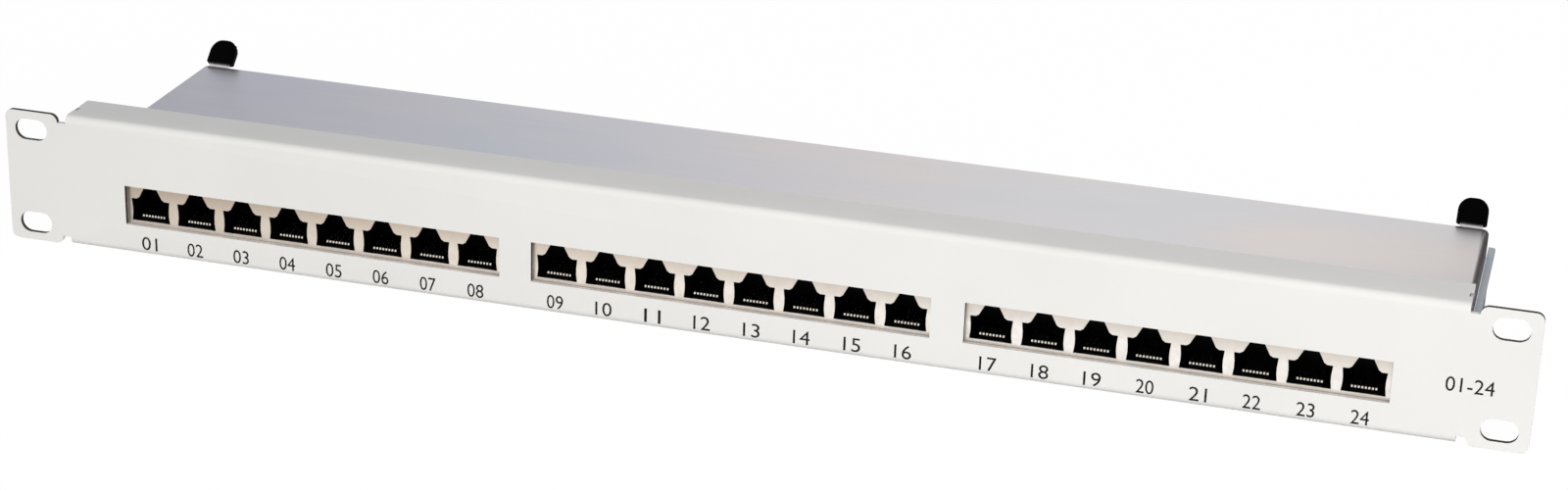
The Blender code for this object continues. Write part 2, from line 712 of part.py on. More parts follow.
def port_outline(middle, stamped):
    """A socket's outline: a wide slot for the plug, with a tapering keyway for its latch above.

    In the stamped shield the side springs bow the walls in, and the corners below the keyway are eased."""
    wide = CAVITY_WIDTH / 2
    keyway = KEYWAY_WIDTH / 2
    keyway_top = KEYWAY_TOP_WIDTH / 2
    if stamped:
        spring_foot = CAVITY_FLOOR + SPRING_START
        spring = [(wide - SPRING_BULGE, spring_foot), (wide - SPRING_BULGE, spring_foot + SPRING_LENGTH)]
        taper = (keyway - keyway_top) / KEYWAY_HEIGHT
        corner = [
            (keyway + KEYWAY_EASE, CAVITY_SHOULDER),
            (keyway - KEYWAY_EASE * taper, CAVITY_SHOULDER + KEYWAY_EASE),
        ]
    else:
        spring = []
        corner = [(keyway, CAVITY_SHOULDER)]
    half = [(wide, CAVITY_FLOOR), *spring, (wide, CAVITY_SHOULDER), *corner, (keyway_top, KEYWAY_TOP)]
    mirrored = [(-u, v) for u, v in reversed(half)]
    return [(middle + u, v) for u, v in half + mirrored]


def build_jack_shield(group):
    middle = group_centre(group)
    outside = OPENING_WIDTH / 2 + SHIELD_LAP
    inside = outside - SHIELD_SHEET
    shield = add_object(
        f"jack_shield_{group + 1}",
        box_mesh((middle - outside, SHIELD_FACE, SHIELD_BOTTOM), (middle + outside, SHIELD_REAR, SHIELD_TOP)),
        SHIELD_METAL,
    )
    hollow = box_mesh(
        (middle - inside, SHIELD_FACE + SHIELD_SHEET, SHIELD_BOTTOM - SHIELD_SHEET),
        (middle + inside, SHIELD_REAR - SHIELD_SHEET, SHIELD_TOP - SHIELD_SHEET),
    )
    add_cut(shield, add_cutter(f"shield_hollow_{group + 1}", hollow))
    ports = [port_outline(port_centre(group, port), True) for port in range(PORTS_PER_GROUP)]
    cutter = plate_mesh(ports, CUTTER_SHEETS * SHIELD_SHEET, FRONT, (0.0, SHIELD_FACE, 0.0))
    add_cut(shield, add_cutter(f"shield_ports_{group + 1}", cutter))


def build_jack_body(group, port):
    middle = port_centre(group, port)
    half = (PORT_PITCH - CLEARANCE) / 2
    block = rectangle(middle - half, SHIELD_BOTTOM, middle + half, JACK_TOP)
    loops = [block, port_outline(middle, False)]
    mesh = plate_mesh(loops, JACK_DEPTH, FRONT, (0.0, JACK_FACE + JACK_DEPTH / 2, 0.0))
    number = group * PORTS_PER_GROUP + port + 1
    add_object(f"jack_body_{number:02d}", mesh, BLACK_PLASTIC)


def build_contact_block(group):
    """The moulded bar behind eight sockets, with the contact wires that reach forward from it into them."""
    middle = group_centre(group)
    half = (OPENING_WIDTH - CLEARANCE) / 2
    rear = CONTACT_BAR_FACE + CONTACT_BAR_DEPTH
    bar = box_mesh((middle - half, CONTACT_BAR_FACE, SHIELD_BOTTOM), (middle + half, rear, JACK_TOP))
    block = add_object(f"contact_block_{group + 1}", bar, CONTACT_METAL)
    strip_half = half - CONTACT_ROOT_INSET
    strip_near = CONTACT_ROOT_DEPTH
    strip_far = CONTACT_ROOT_DEPTH + CONTACT_ROOT_LENGTH
    comb = [(middle + strip_half, strip_near), (middle + strip_half, strip_far)]
    comb += [(middle - strip_half, strip_far), (middle - strip_half, strip_near)]
    for port in range(PORTS_PER_GROUP):
        for wire in range(CONTACTS_PER_PORT):
            x = port_centre(group, port) + (wire - (CONTACTS_PER_PORT - 1) / 2) * CONTACT_PITCH
            left = x - CONTACT_WIDTH / 2
            right = x + CONTACT_WIDTH / 2
            comb += [(left, strip_near), (left, -CONTACT_REACH), (right, -CONTACT_REACH), (right, strip_near)]
    wires = plate_mesh([comb], CONTACT_THICKNESS, FLAT)
    root = Matrix.Translation((0.0, CONTACT_BAR_FACE, CAVITY_FLOOR + CONTACT_ROOT_HEIGHT))
    wires.transform(root @ Matrix.Rotation(CONTACT_SLOPE, 4, "X"))
    add_joint(block, add_cutter(f"contact_wires_{group + 1}", wires))


def build_circuit_board(group):
    middle = group_centre(group)
    half = OPENING_WIDTH / 2 + BOARD_SIDE_LAP
    loops = [rectangle(middle - half, BOARD_FRONT, middle + half, BOARD_REAR)]
    own_screws = [(x, y) for x, y in board_screw_places() if abs(x - middle) < half]
    loops += [circle(x, y, SCREW_RADIUS + CLEARANCE) for x, y in own_screws]
    height = BOARD_TOP - BOARD_THICKNESS / 2
    board = plate_mesh(loops, BOARD_THICKNESS, FLAT, (0.0, 0.0, height))
    add_object(f"circuit_board_{group + 1}", board, BOARD_GREEN)


def build_idc_strip(name, group, front):
    """A terminal strip: a comb of teeth whose slots each grip one wire."""
    middle = group_centre(group)
    bottom = BOARD_TOP + CLEARANCE
    top = bottom + IDC_HEIGHT
    slots = PORTS_PER_GROUP * IDC_SLOTS_PER_PORT
    pitch = PORT_PITCH / IDC_SLOTS_PER_PORT
    half = ((slots - 1) * pitch + IDC_SLOT_WIDTH) / 2 + IDC_END_WALL
    outline = [(middle - half, bottom), (middle + half, bottom), (middle + half, top)]
    for slot in reversed(range(slots)):
        x = middle + (slot - (slots - 1) / 2) * pitch
        left = x - IDC_SLOT_WIDTH / 2
        right = x + IDC_SLOT_WIDTH / 2
        outline += [(right, top), (right, top - IDC_SLOT_DEPTH), (left, top - IDC_SLOT_DEPTH), (left, top)]
    outline.append((middle - half, top))
    mesh = plate_mesh([outline], IDC_DEPTH, FRONT, (0.0, front + IDC_DEPTH / 2, 0.0))
    add_object(f"{name}_{group + 1}", mesh, TERMINAL_PLASTIC)


def build_cable_comb():
    """A stepped bracket across the tray's rear, with a T-shaped tongue for the cable tie of each port."""
    reach = comb_reach()
    half = COMB_SHEET / 2
    foot_height = TRAY_SHEET + CLEARANCE + half
    riser = COMB_FRONT + COMB_FOOT_DEPTH
    shelf_end = riser + COMB_SHELF_DEPTH
    stem_end = shelf_end + TONGUE_STEM_LENGTH
    head_end = stem_end + TONGUE_HEAD_LENGTH
    shelf_height = COMB_HEIGHT - half
    section = folded_section(
        [(COMB_FRONT, foot_height), (riser, foot_height), (riser, shelf_height), (head_end, shelf_height)],
        COMB_BEND,
        COMB_SHEET,
    )
    comb = add_object("cable_comb", plate_mesh([section], 2 * reach, SIDE), ZINC)

    count = GROUPS * PORTS_PER_GROUP
    pitch = 2 * reach / count
    wide = (pitch - TONGUE_STEM_WIDTH) / 2
    narrow = (pitch - TONGUE_HEAD_WIDTH) / 2
    past = head_end + COMB_SHEET
    gap = [(wide, shelf_end), (wide, stem_end), (narrow, stem_end), (narrow, past)]
    gap += [(-u, v) for u, v in reversed(gap)]
    gaps = [[(u + (index - count / 2) * pitch, v) for u, v in gap] for index in range(count + 1)]
    cutter = plate_mesh(gaps, CUTTER_SHEETS * COMB_SHEET, FLAT, (0.0, 0.0, shelf_height))
    add_cut(comb, add_cutter("comb_gaps", cutter))
    holes = round_cutter(comb_screw_places(), SCREW_RADIUS + CLEARANCE, 0.0, foot_height + 2 * COMB_SHEET)
    add_cut(comb, add_cutter("comb_screw_holes", holes))


def build_fasteners():
    board_seat = BOARD_TOP + CLEARANCE
    for index, (x, y) in enumerate(board_screw_places()):
        place = Matrix.Translation((x, y, board_seat))
        length = board_seat - SCREW_SEAT_IN_TRAY
        mesh = headed_pin_mesh(SCREW_HEAD_RADIUS, SCREW_HEAD_HEIGHT, SCREW_RADIUS, length, place)
        add_object(f"board_screw_{index + 1}", mesh, STEEL)
    comb_seat = TRAY_SHEET + CLEARANCE + COMB_SHEET + CLEARANCE
    for name, (x, y) in zip(("comb_screw_left", "comb_screw_right"), comb_screw_places()):
        place = Matrix.Translation((x, y, comb_seat))
        length = comb_seat - SCREW_SEAT_IN_TRAY
        mesh = headed_pin_mesh(SCREW_HEAD_RADIUS, SCREW_HEAD_HEIGHT, SCREW_RADIUS, length, place)
        add_object(name, mesh, STEEL)
    rivet_seat = TONGUE_BOTTOM + TRAY_SHEET + CLEARANCE
    for index, (x, y) in enumerate(rivet_places()):
        place = Matrix.Translation((x, y, rivet_seat))
        mesh = headed_pin_mesh(RIVET_HEAD_RADIUS, RIVET_HEAD_HEIGHT, RIVET_RADIUS, rivet_seat, place)
        add_object(f"flange_rivet_{index + 1}", mesh, STEEL)


def build_earth_terminal():
    x, y = earth_place()
    profile = [(0.0, EARTH_LENGTH), (EARTH_RADIUS, EARTH_LENGTH), (EARTH_RADIUS, 0.0), (0.0, 0.0)]
    add_object("earth_stud", turned_mesh(profile, Matrix.Translation((x, y, 0.0))), STEEL)
    hexagon = circle(x, y, EARTH_NUT_ACROSS_FLATS / 2, NUT_SIDES)
    bore = circle(x, y, EARTH_RADIUS + CLEARANCE)
    height = TRAY_SHEET + CLEARANCE + EARTH_NUT_HEIGHT / 2
    nut = plate_mesh([hexagon, bore], EARTH_NUT_HEIGHT, FLAT, (0.0, 0.0, height))
    add_object("earth_nut", nut, STEEL)


def main():
    build_front_panel()
    build_rear_tray()
    build_lid()
    for name, side in (("left", -1), ("right", 1)):
        build_tab_cap(name + "_tab_cap", side)
        build_hinge_pin(name + "_hinge_pin", side)
    for group in range(GROUPS):
        build_jack_shield(group)
        for port in range(PORTS_PER_GROUP):
            build_jack_body(group, port)
        build_contact_block(group)
        build_circuit_board(group)
        build_idc_strip("idc_strip_front", group, IDC_FRONT)
        build_idc_strip("idc_strip_rear", group, IDC_REAR)
    build_cable_comb()
    build_fasteners()
    build_earth_terminal()


main()
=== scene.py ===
"""Looks of a one-unit rack patch panel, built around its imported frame.

The solids of the frame keep their places. Sheet-metal pieces are shown as copies with rolled edges, the small
turned and moulded pieces as finer surfaces, and every surface gets a finish made of shader nodes. Lengths are in
metres: X runs to the right seen from the front, Y from the front towards the cables, and Z up.
"""

import logging
import math
from collections.abc import Mapping, Sequence
from dataclasses import dataclass, field
from enum import Enum

import bmesh
import bpy
import numpy as np
from bpy.types import Material, Mesh, Node, NodeSocket, NodeTree, Object
from mathutils import Matrix, Vector


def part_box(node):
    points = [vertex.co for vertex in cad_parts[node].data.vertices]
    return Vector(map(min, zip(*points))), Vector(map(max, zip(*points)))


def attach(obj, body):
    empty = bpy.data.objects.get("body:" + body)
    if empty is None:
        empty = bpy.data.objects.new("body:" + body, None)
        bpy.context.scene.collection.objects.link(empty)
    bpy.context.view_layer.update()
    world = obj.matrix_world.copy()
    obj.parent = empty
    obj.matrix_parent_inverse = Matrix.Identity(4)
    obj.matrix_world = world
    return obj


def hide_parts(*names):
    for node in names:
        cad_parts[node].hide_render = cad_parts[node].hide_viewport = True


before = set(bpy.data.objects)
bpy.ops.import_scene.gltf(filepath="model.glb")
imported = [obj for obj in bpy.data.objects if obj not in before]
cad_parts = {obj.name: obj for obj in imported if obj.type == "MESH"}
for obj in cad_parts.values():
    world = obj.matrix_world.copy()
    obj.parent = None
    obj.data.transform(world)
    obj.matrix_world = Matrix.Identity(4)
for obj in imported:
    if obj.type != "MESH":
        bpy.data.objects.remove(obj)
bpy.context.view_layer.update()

LOG = logging.getLogger("patch_panel")

MM = 0.001
WELD_DISTANCE = 0.002 * MM
FLAT_ANGLE = math.radians(0.5)
SHARP_ANGLE = math.radians(30.0)
FULL_TURN = 2 * math.pi
BLOCKS = 3
BLOCK_PORTS = 8
WHITE = "#FFFFFF"

Point = tuple[float, float, float]
Colour = tuple[float, float, float, float]
Look = dict[str, object]

# Most values of a noise pattern lie between these
NOISE_SPAN = {"From Min": 0.3, "From Max": 0.7}
# The numbers of a Mix node's two colour inputs
FIRST, SECOND = 6, 7


class Body(Enum):
    """The two bodies of the frame that pieces ride on."""

    HOUSING = "housing"
    LID = "lid_cover"


class Side(Enum):
    """Left and right, seen from the front, as the nodes name them."""

    LEFT = "left"
    RIGHT = "right"


class Cover(Enum):
    """What covers a face of the front panel, as the number of its finish there."""

    COAT = 0
    BARE = 1
    THIN = 2


class Row(Enum):
    """The two rows of wire terminals on a board, as their nodes name them."""

    FRONT = "front"
    REAR = "rear"


def linear(hex_colour: str) -> Colour:
    """Turn an sRGB hex colour into linear light, by the standard's curve.

    Args:
        hex_colour: the colour as "#RRGGBB".

    Returns:
        Linear red, green and blue, with an alpha of one.
    """
    values = np.array([int(hex_colour[at : at + 2], 16) for at in (1, 3, 5)]) / 255.0
    light = np.where(values <= 0.04045, values / 12.92, ((values + 0.055) / 1.055) ** 2.4)
    return (*light.tolist(), 1.0)


def add_node(tree: NodeTree, kind: str, inputs: Mapping[str | int, object], **settings: object) -> Node:
    """Add one shader node, set it up and link it.

    Args:
        tree: the node tree.
        kind: the node's type name.
        inputs: values by input name or number. A node is linked by its first output in use and a socket as it
            is, and anything else is set.
        settings: the node's own properties.

    Returns:
        The new node.
    """
    node = tree.nodes.new(kind)
    for name, value in settings.items():
        setattr(node, name, value)
    for name, value in inputs.items():
        if isinstance(value, Node):
            value = next(output for output in value.outputs if output.enabled)
        if isinstance(value, NodeSocket):
            tree.links.new(value, node.inputs[name])
        else:
            node.inputs[name].default_value = value
    return node


def blank_material(name: str) -> Material:
    """Start a material.

    Args:
        name: its name.

    Returns:
        A new material with an empty node tree.
    """
    material = bpy.data.materials.new(name)
    material.use_nodes = True
    material.node_tree.nodes.clear()
    return material


def per_metre(size_mm: float) -> float:
    """The texture scale that gives features of this size in millimetres."""
    return 1.0 / (size_mm * MM)


@dataclass(frozen=True)
class Grain:
    """A cloudy pattern on a surface, and what it changes there.

    Attributes:
        size_mm: its size, the same all ways or along X, Y and Z.
        detail: how many finer patterns lie in it.
        mix: the most of the finish's second colour that it mixes in.
        shade: the most that it darkens the colour.
        gloss: how far it moves the roughness each way.
        height_mm: how far it raises the surface.
    """

    size_mm: float | Point
    detail: float = 2.0
    mix: float = 0.0
    shade: float = 0.0
    gloss: float = 0.0
    height_mm: float = 0.0


@dataclass(frozen=True)
class Finish:
    """A material and the process that made its surface.

    Attributes:
        name: the material and its process.
        colour: its main colour.
        second: the colour that its patterns mix in.
        roughness: its mean roughness.
        metallic: one for a metal.
        specular: strength of its gloss.
        grains: its cloudy patterns.
    """

    name: str
    colour: str
    second: str
    roughness: float
    metallic: float = 0.0
    specular: float = 0.5
    grains: tuple[Grain, ...] = ()

    def make(self) -> Material:
        """Build the material.

        Returns:
            The finished material.
        """
        material = blank_material(self.name)
        tree = material.node_tree
        place = add_node(tree, "ShaderNodeTexCoord", {}).outputs["Object"]
        plain = {"Roughness": self.roughness, "Metallic": self.metallic, "Specular IOR Level": self.specular}
        shader = add_node(tree, "ShaderNodeBsdfPrincipled", plain | self.dress(tree, place))
        add_node(tree, "ShaderNodeOutputMaterial", {"Surface": shader})
        return material

    def dress(self, tree: NodeTree, place: NodeSocket) -> Look:
        """Add the nodes of every grain: a stretched noise that drives colour, roughness and height.

        Args:
            tree: the material's node tree.
            place: the Object coordinates that patterns read.

        Returns:
            The shader's inputs that these nodes give.
        """
        look: Look = {"Base Color": linear(self.colour)}
        for grain in self.grains:
            scale = [per_metre(size) for size in np.broadcast_to(grain.size_mm, 3)]
            spread = add_node(tree, "ShaderNodeMapping", {"Vector": place, "Scale": scale})
            cloud = {"Vector": spread, "Scale": 1.0, "Detail": grain.detail}
            noise = add_node(tree, "ShaderNodeTexNoise", cloud)
            span = {"Value": noise, **NOISE_SPAN}
            if grain.mix:
                share = add_node(tree, "ShaderNodeMapRange", span | {"To Max": grain.mix})
                tones = {"Factor": share, FIRST: look["Base Color"], SECOND: linear(self.second)}
                look["Base Color"] = add_node(tree, "ShaderNodeMix", tones, data_type="RGBA")
            if grain.shade:
                shade = add_node(tree, "ShaderNodeMapRange", span | {"To Min": 1.0 - grain.shade})
                tones = {"Color": look["Base Color"], "Value": shade}
                look["Base Color"] = add_node(tree, "ShaderNodeHueSaturation", tones)
            if grain.gloss:
                drift = {"To Min": self.roughness - grain.gloss, "To Max": self.roughness + grain.gloss}
                look["Roughness"] = add_node(tree, "ShaderNodeMapRange", span | drift)
            if grain.height_mm:
                rise = {"Height": noise, "Distance": grain.height_mm * MM}
                look["Normal"] = add_node(tree, "ShaderNodeBump", rise)
        return look


@dataclass(frozen=True)
class PowderCoat(Finish):
    """Polyester powder sprayed and baked on sheet steel: a pale, even satin with a faint orange peel.

    A real peel is about 0.5 mm wide, and is drawn coarser here so that it shows at all."""

    grains: tuple[Grain, ...] = (Grain(45.0, mix=1.0), Grain(1.3, gloss=0.05, height_mm=0.012))


@dataclass(frozen=True)
class ShearedEdge(Finish):
    """A punched edge of the sheet, bare or with little coat on it: streaked through the sheet's thickness."""

    grains: tuple[Grain, ...] = (Grain((0.5, 4.0, 0.5), mix=1.0),)


@dataclass(frozen=True)
class ZincSheet(Finish):
    """Bright zinc plated on rolled sheet and passivated: satin metal that drifts from blue to pink, with faint
    lines along it.

    Rolling lines are finer than this on real sheet, and are widened so that they show."""

    grains: tuple[Grain, ...] = (
        Grain((90.0, 45.0, 45.0), mix=1.0),
        Grain((60.0, 0.7, 0.7), 4.0, shade=0.06, gloss=0.05, height_mm=0.004),
    )


@dataclass(frozen=True)
class TinnedShield(Finish):
    """Stamped copper alloy with a thin coat of matt tin: warm and a little mottled, and darker towards the top by
    painted shade."""

    grains: tuple[Grain, ...] = (Grain(2.2, 3.0, mix=1.0, gloss=0.07),)
    # Painted shade: the tin turns to this colour between these two heights
    painted_shade_colour: str = "#D2C8BD"
    painted_shade_from_mm: float = 16.5
    painted_shade_to_mm: float = 23.5

    def dress(self, tree: NodeTree, place: NodeSocket) -> Look:
        """Darken the mottled tin towards the top with painted shade.

        Args:
            tree: the material's node tree.
            place: the Object coordinates that patterns read.

        Returns:
            The shader's inputs that these nodes give.
        """
        look = super().dress(tree, place)
        height = add_node(tree, "ShaderNodeSeparateXYZ", {"Vector": place}).outputs["Z"]
        reach = {"From Min": self.painted_shade_from_mm * MM, "From Max": self.painted_shade_to_mm * MM}
        painted_shade_share = add_node(tree, "ShaderNodeMapRange", {"Value": height, **reach})
        tones = {"Factor": painted_shade_share, FIRST: look["Base Color"], SECOND: linear(self.painted_shade_colour)}
        return look | {"Base Color": add_node(tree, "ShaderNodeMix", tones, data_type="RGBA")}


@dataclass(frozen=True)
class MouldedPlastic(Finish):
    """Injection-moulded thermoplastic: one colour all through, with the fine spark texture of its mould.

    Spark texture is about 0.1 mm, and is drawn coarser so that it shows."""

    grains: tuple[Grain, ...] = (Grain(0.5, 3.0, mix=1.0, gloss=0.06, height_mm=0.006),)


@dataclass(frozen=True)
class ScreenInk(Finish):
    """Ink pressed through a screen: a thin matt layer with the grain of the mesh."""

    grains: tuple[Grain, ...] = (Grain(0.5, 3.0, mix=1.0, gloss=0.06, height_mm=0.006),)


@dataclass(frozen=True)
class DippedVinyl(Finish):
    """Soft vinyl that a hot tab was dipped in: matt and a little uneven."""

    grains: tuple[Grain, ...] = (Grain(0.9, 3.0, mix=1.0, gloss=0.06, height_mm=0.006),)


@dataclass(frozen=True)
class PlatedMetal(Finish):
    """Small headed, drawn or stamped pieces, plated bright: clear metal with slight stains."""

    grains: tuple[Grain, ...] = (Grain(1.6, 3.0, mix=0.6, gloss=0.06),)


@dataclass(frozen=True)
class SolderMask(Finish):
    """Green solder mask over etched copper: glossy, with the tracks raised and paler under it."""

    track_pitch_mm: float = 1.32
    track_edge: tuple[float, float] = (0.25, 0.5)
    # A sine is high a quarter turn after each whole number, so a track's own number starts a quarter before
    track_lead: float = 0.25
    empty_share: float = 0.22
    row_pitch_mm: float = 18.0
    row_shift_mm: float = 22.8
    jog_mm: tuple[float, float] = (6.0, 12.0)
    mask_height_mm: float = 0.03

    def dress(self, tree: NodeTree, place: NodeSocket) -> Look:
        """Run tracks straight back under the rows of terminals, with a sideways jog at 45 degrees between rows.

        A track lies where a sine of X, shifted by the jogs, is high. The jog is a triangle wave of Y with the
        rows' pitch, of which only the middle rises. Some of the tracks are left out.

        Args:
            tree: the material's node tree.
            place: the Object coordinates that patterns read.

        Returns:
            The shader's inputs that these nodes give.
        """
        parts = add_node(tree, "ShaderNodeSeparateXYZ", {"Vector": place}).outputs
        row = add_node(tree, "ShaderNodeMath", {0: parts["Y"], 1: self.row_shift_mm * MM}, operation="ADD")
        wave = add_node(tree, "ShaderNodeMath", {0: row, 1: self.row_pitch_mm * MM}, operation="PINGPONG")
        start, end = (edge * MM for edge in self.jog_mm)
        reach = {"From Min": start, "From Max": end, "To Max": end - start}
        jog = add_node(tree, "ShaderNodeMapRange", {"Value": wave, **reach})
        across = add_node(tree, "ShaderNodeMath", {0: parts["X"], 1: jog}, operation="ADD")
        scale = {0: across, 1: per_metre(self.track_pitch_mm)}
        count = add_node(tree, "ShaderNodeMath", scale, operation="MULTIPLY")
        turns = add_node(tree, "ShaderNodeMath", {0: count, 1: FULL_TURN}, operation="MULTIPLY")
        crest = add_node(tree, "ShaderNodeMath", {0: turns}, operation="SINE")
        edge = {"From Min": self.track_edge[0], "From Max": self.track_edge[1]}
        track = add_node(tree, "ShaderNodeMapRange", {"Value": crest, **edge})
        shifted = add_node(tree, "ShaderNodeMath", {0: count, 1: self.track_lead}, operation="ADD")
        number = add_node(tree, "ShaderNodeMath", {0: shifted}, operation="FLOOR")
        chance = add_node(tree, "ShaderNodeTexWhiteNoise", {"W": number}, noise_dimensions="1D")
        limit = {0: chance, 1: self.empty_share}
        etched = add_node(tree, "ShaderNodeMath", limit, operation="GREATER_THAN")
        copper = add_node(tree, "ShaderNodeMath", {0: track, 1: etched}, operation="MULTIPLY")
        tones = {"Factor": copper, FIRST: linear(self.colour), SECOND: linear(self.second)}
        return {
            "Base Color": add_node(tree, "ShaderNodeMix", tones, data_type="RGBA"),
            "Normal": add_node(tree, "ShaderNodeBump", {"Height": copper, "Distance": self.mask_height_mm * MM}),
        }


def made(finish: Finish) -> Material:
    """A field that holds this finish's material."""
    return field(default_factory=finish.make)


@dataclass(frozen=True)
class Finishes:
    """Every finish of the panel, made once."""

    # Warm white satin
    coat: Material = made(PowderCoat("light_grey_powder_coat", "#ECEBE8", "#F0EFEC", 0.42))
    # Dark and brownish, where the punch tore the steel
    edge: Material = made(ShearedEdge("sheared_steel_edge", "#4A3F3B", "#2E2623", 0.55, specular=0.2))
    # Whiter than the coat itself: painted light on faces that lie in shade, with the tears just showing
    thin_coat_painted_light: Material = made(ShearedEdge("thinly_coated_edge_painted_light", "#FBF6F2", "#EBE0D8", 0.5))
    # Silvery, between a blue and a pink cast
    zinc: Material = made(ZincSheet("zinc_plated_rolled_sheet", "#D1D2D6", "#DBD4D2", 0.34, 1.0))
    # Bluer than the lid, and darker by a painted reflection that darkens the tray's lip
    tray_zinc: Material = made(ZincSheet("bluer_darker_zinc_sheet", "#9AA6B1", "#A6A9AF", 0.36, 1.0))
    # Warm and pale, darker at the top by painted shade
    shield: Material = made(TinnedShield("tinned_stamped_shield", "#FBF7F2", "#F1EAE2", 0.34, 1.0))
    # Deep black with a weak gloss
    black: Material = made(MouldedPlastic("black_moulded_polyester", "#040405", "#000000", 0.55, specular=0.1))
    # Bright and barely yellow
    contact: Material = made(PlatedMetal("gold_flashed_contact_wire", "#E6E2DA", "#D8CFBE", 0.2, 1.0))
    # Deep green under a gloss
    board: Material = made(SolderMask("green_solder_mask", "#1E5A36", "#4B9263", 0.3))
    # Ivory with a soft gloss
    terminal: Material = made(MouldedPlastic("off_white_moulded_terminal", "#E6E2D6", "#DAD5C7", 0.45))
    # Warm grey metal
    blade: Material = made(PlatedMetal("tinned_bronze_blade", "#D8D2C6", "#B9B2A4", 0.3, 1.0))
    # Black with hardly any gloss
    vinyl: Material = made(DippedVinyl("black_dipped_vinyl", "#020202", "#000000", 0.5, specular=0.02))
    # Bright metal
    steel: Material = made(PlatedMetal("bright_plated_steel", "#D9D6CF", "#B9B2A4", 0.26, 1.0))
    # Soft black
    ink: Material = made(ScreenInk("black_screen_ink", "#1A1818", "#0F0E0E", 0.6, specular=0.2))


@dataclass
class Surface:
    """Points and faces, before they become a mesh.

    Attributes:
        points: an array of (n, 3) places.
        faces: an array of point numbers, with a row of three or four for each face.
    """

    points: np.ndarray
    faces: np.ndarray

    def copies(self, offsets: np.ndarray) -> "Surface":
        """Repeat the surface.

        Args:
            offsets: an array of (k, 3) shifts.

        Returns:
            One surface with k copies.
        """
        count = len(self.points)
        points = (offsets[:, None, :] + self.points[None, :, :]).reshape(-1, 3)
        faces = (np.arange(len(offsets))[:, None, None] * count + self.faces[None, :, :]).reshape(-1, 4)
        return Surface(points, faces)

    def joined(self, other: "Surface") -> "Surface":
        """This surface and another as one."""
        faces = np.concatenate([self.faces, other.faces + len(self.points)])
        return Surface(np.concatenate([self.points, other.points]), faces)

    def moved(self, matrix: Matrix) -> "Surface":
        """The surface carried through a 4 by 4 transform."""
        turn = np.array(matrix)
        return Surface(self.points @ turn[:3, :3].T + turn[:3, 3], self.faces)

    def mesh(self, name: str) -> Mesh:
        """Make a mesh with its doubles merged and its faces pointing out.

        Args:
            name: the mesh's name.

        Returns:
            The mesh, shaded smooth except at sharp edges.
        """
        mesh = bpy.data.meshes.new(name)
        mesh.from_pydata(self.points.tolist(), [], self.faces.tolist())
        return cleaned(mesh)


def cleaned(mesh: Mesh) -> Mesh:
    """Merge a mesh's doubles, join its coplanar faces and turn them outwards.

    Args:
        mesh: the mesh, which is changed.

    Returns:
        The same mesh.
    """
    shape = bmesh.new()
    shape.from_mesh(mesh)
    bmesh.ops.remove_doubles(shape, verts=shape.verts, dist=WELD_DISTANCE)
    bmesh.ops.dissolve_limit(shape, angle_limit=FLAT_ANGLE, verts=shape.verts, edges=shape.edges)
    bmesh.ops.recalc_face_normals(shape, faces=shape.faces)
    shape.to_mesh(mesh)
    shape.free()
    mesh.shade_smooth()
    mesh.set_sharp_from_angle(angle=SHARP_ANGLE)
    return mesh


def grid_surface(points: np.ndarray) -> Surface:
    """Join a grid of points with quads, closed round its second axis.

    Args:
        points: an array of (rows, columns, 3) places.

    Returns:
        The surface.
    """
    rows, columns = points.shape[:2]
    row = np.arange(rows - 1)[:, None] * columns
    here = np.arange(columns)[None, :]
    after = (here + 1) % columns
    faces = np.stack([row + here, row + after, row + columns + after, row + columns + here], -1)
    return Surface(points.reshape(-1, 3), faces.reshape(-1, 4))


def rings(radius: np.ndarray, height: np.ndarray, steps: int) -> np.ndarray:
    """Points on rings about Z: x and y are the radius times the cosine and sine of the angle, z is the height.

    Args:
        radius: one radius per row, or one per row and step.
        height: the heights, laid out in the same way.
        steps: how many points go round.

    Returns:
        An array of (rows, steps, 3).
    """
    angle = np.arange(steps) * FULL_TURN / steps
    radius, height, angle = np.broadcast_arrays(radius, height, angle)
    return np.stack([radius * np.cos(angle), radius * np.sin(angle), height], -1)


def turned(profile: np.ndarray, steps: int) -> Surface:
    """A profile of (n, 2) radii and heights, which starts and ends on the axis, turned about Z."""
    return grid_surface(rings(profile[:, :1], profile[:, 1:], steps))


def swept(section: np.ndarray, path: np.ndarray) -> Surface:
    """Carry a section along a path in the YZ plane: each point is the path's point plus the section's first
    coordinate along X and its second along the path's normal. Both ends close on the path.

    Args:
        section: an array of (m, 2) points.
        path: an array of (n, 2) places, as Y and Z.

    Returns:
        The closed surface.
    """
    along = np.gradient(path, axis=0)
    along /= np.linalg.norm(along, axis=1, keepdims=True)
    normal = np.stack([-along[:, 1], along[:, 0]], -1)
    side = np.broadcast_to(section[None, :, 0], (len(path), len(section)))
    rest = path[:, None, :] + section[None, :, 1:] * normal[:, None, :]
    body = np.concatenate([side[..., None], rest], -1)
    tip = np.zeros((2, 1, 3))
    tip[:, 0, 1:] = path[[0, -1]]
    ends = np.broadcast_to(tip, (2, len(section), 3))
    return grid_surface(np.concatenate([ends[:1], body, ends[1:]]))


def extruded(outline: np.ndarray, thickness: float) -> Surface:
    """Give a convex outline in the XZ plane a thickness along Y: two rims half a thickness to each side, and a fan
    from each rim to the outline's mean point.

    Args:
        outline: an array of (n, 2) places, as X and Z.
        thickness: the whole thickness.

    Returns:
        The closed surface.
    """
    middle = np.broadcast_to(outline.mean(0), outline.shape)
    loops = np.stack([middle, outline, outline, middle])
    depth = np.array([-1, -1, 1, 1])[:, None, None] * thickness / 2 + np.zeros((4, len(outline), 1))
    return grid_surface(np.concatenate([loops[..., :1], depth, loops[..., 1:]], -1))


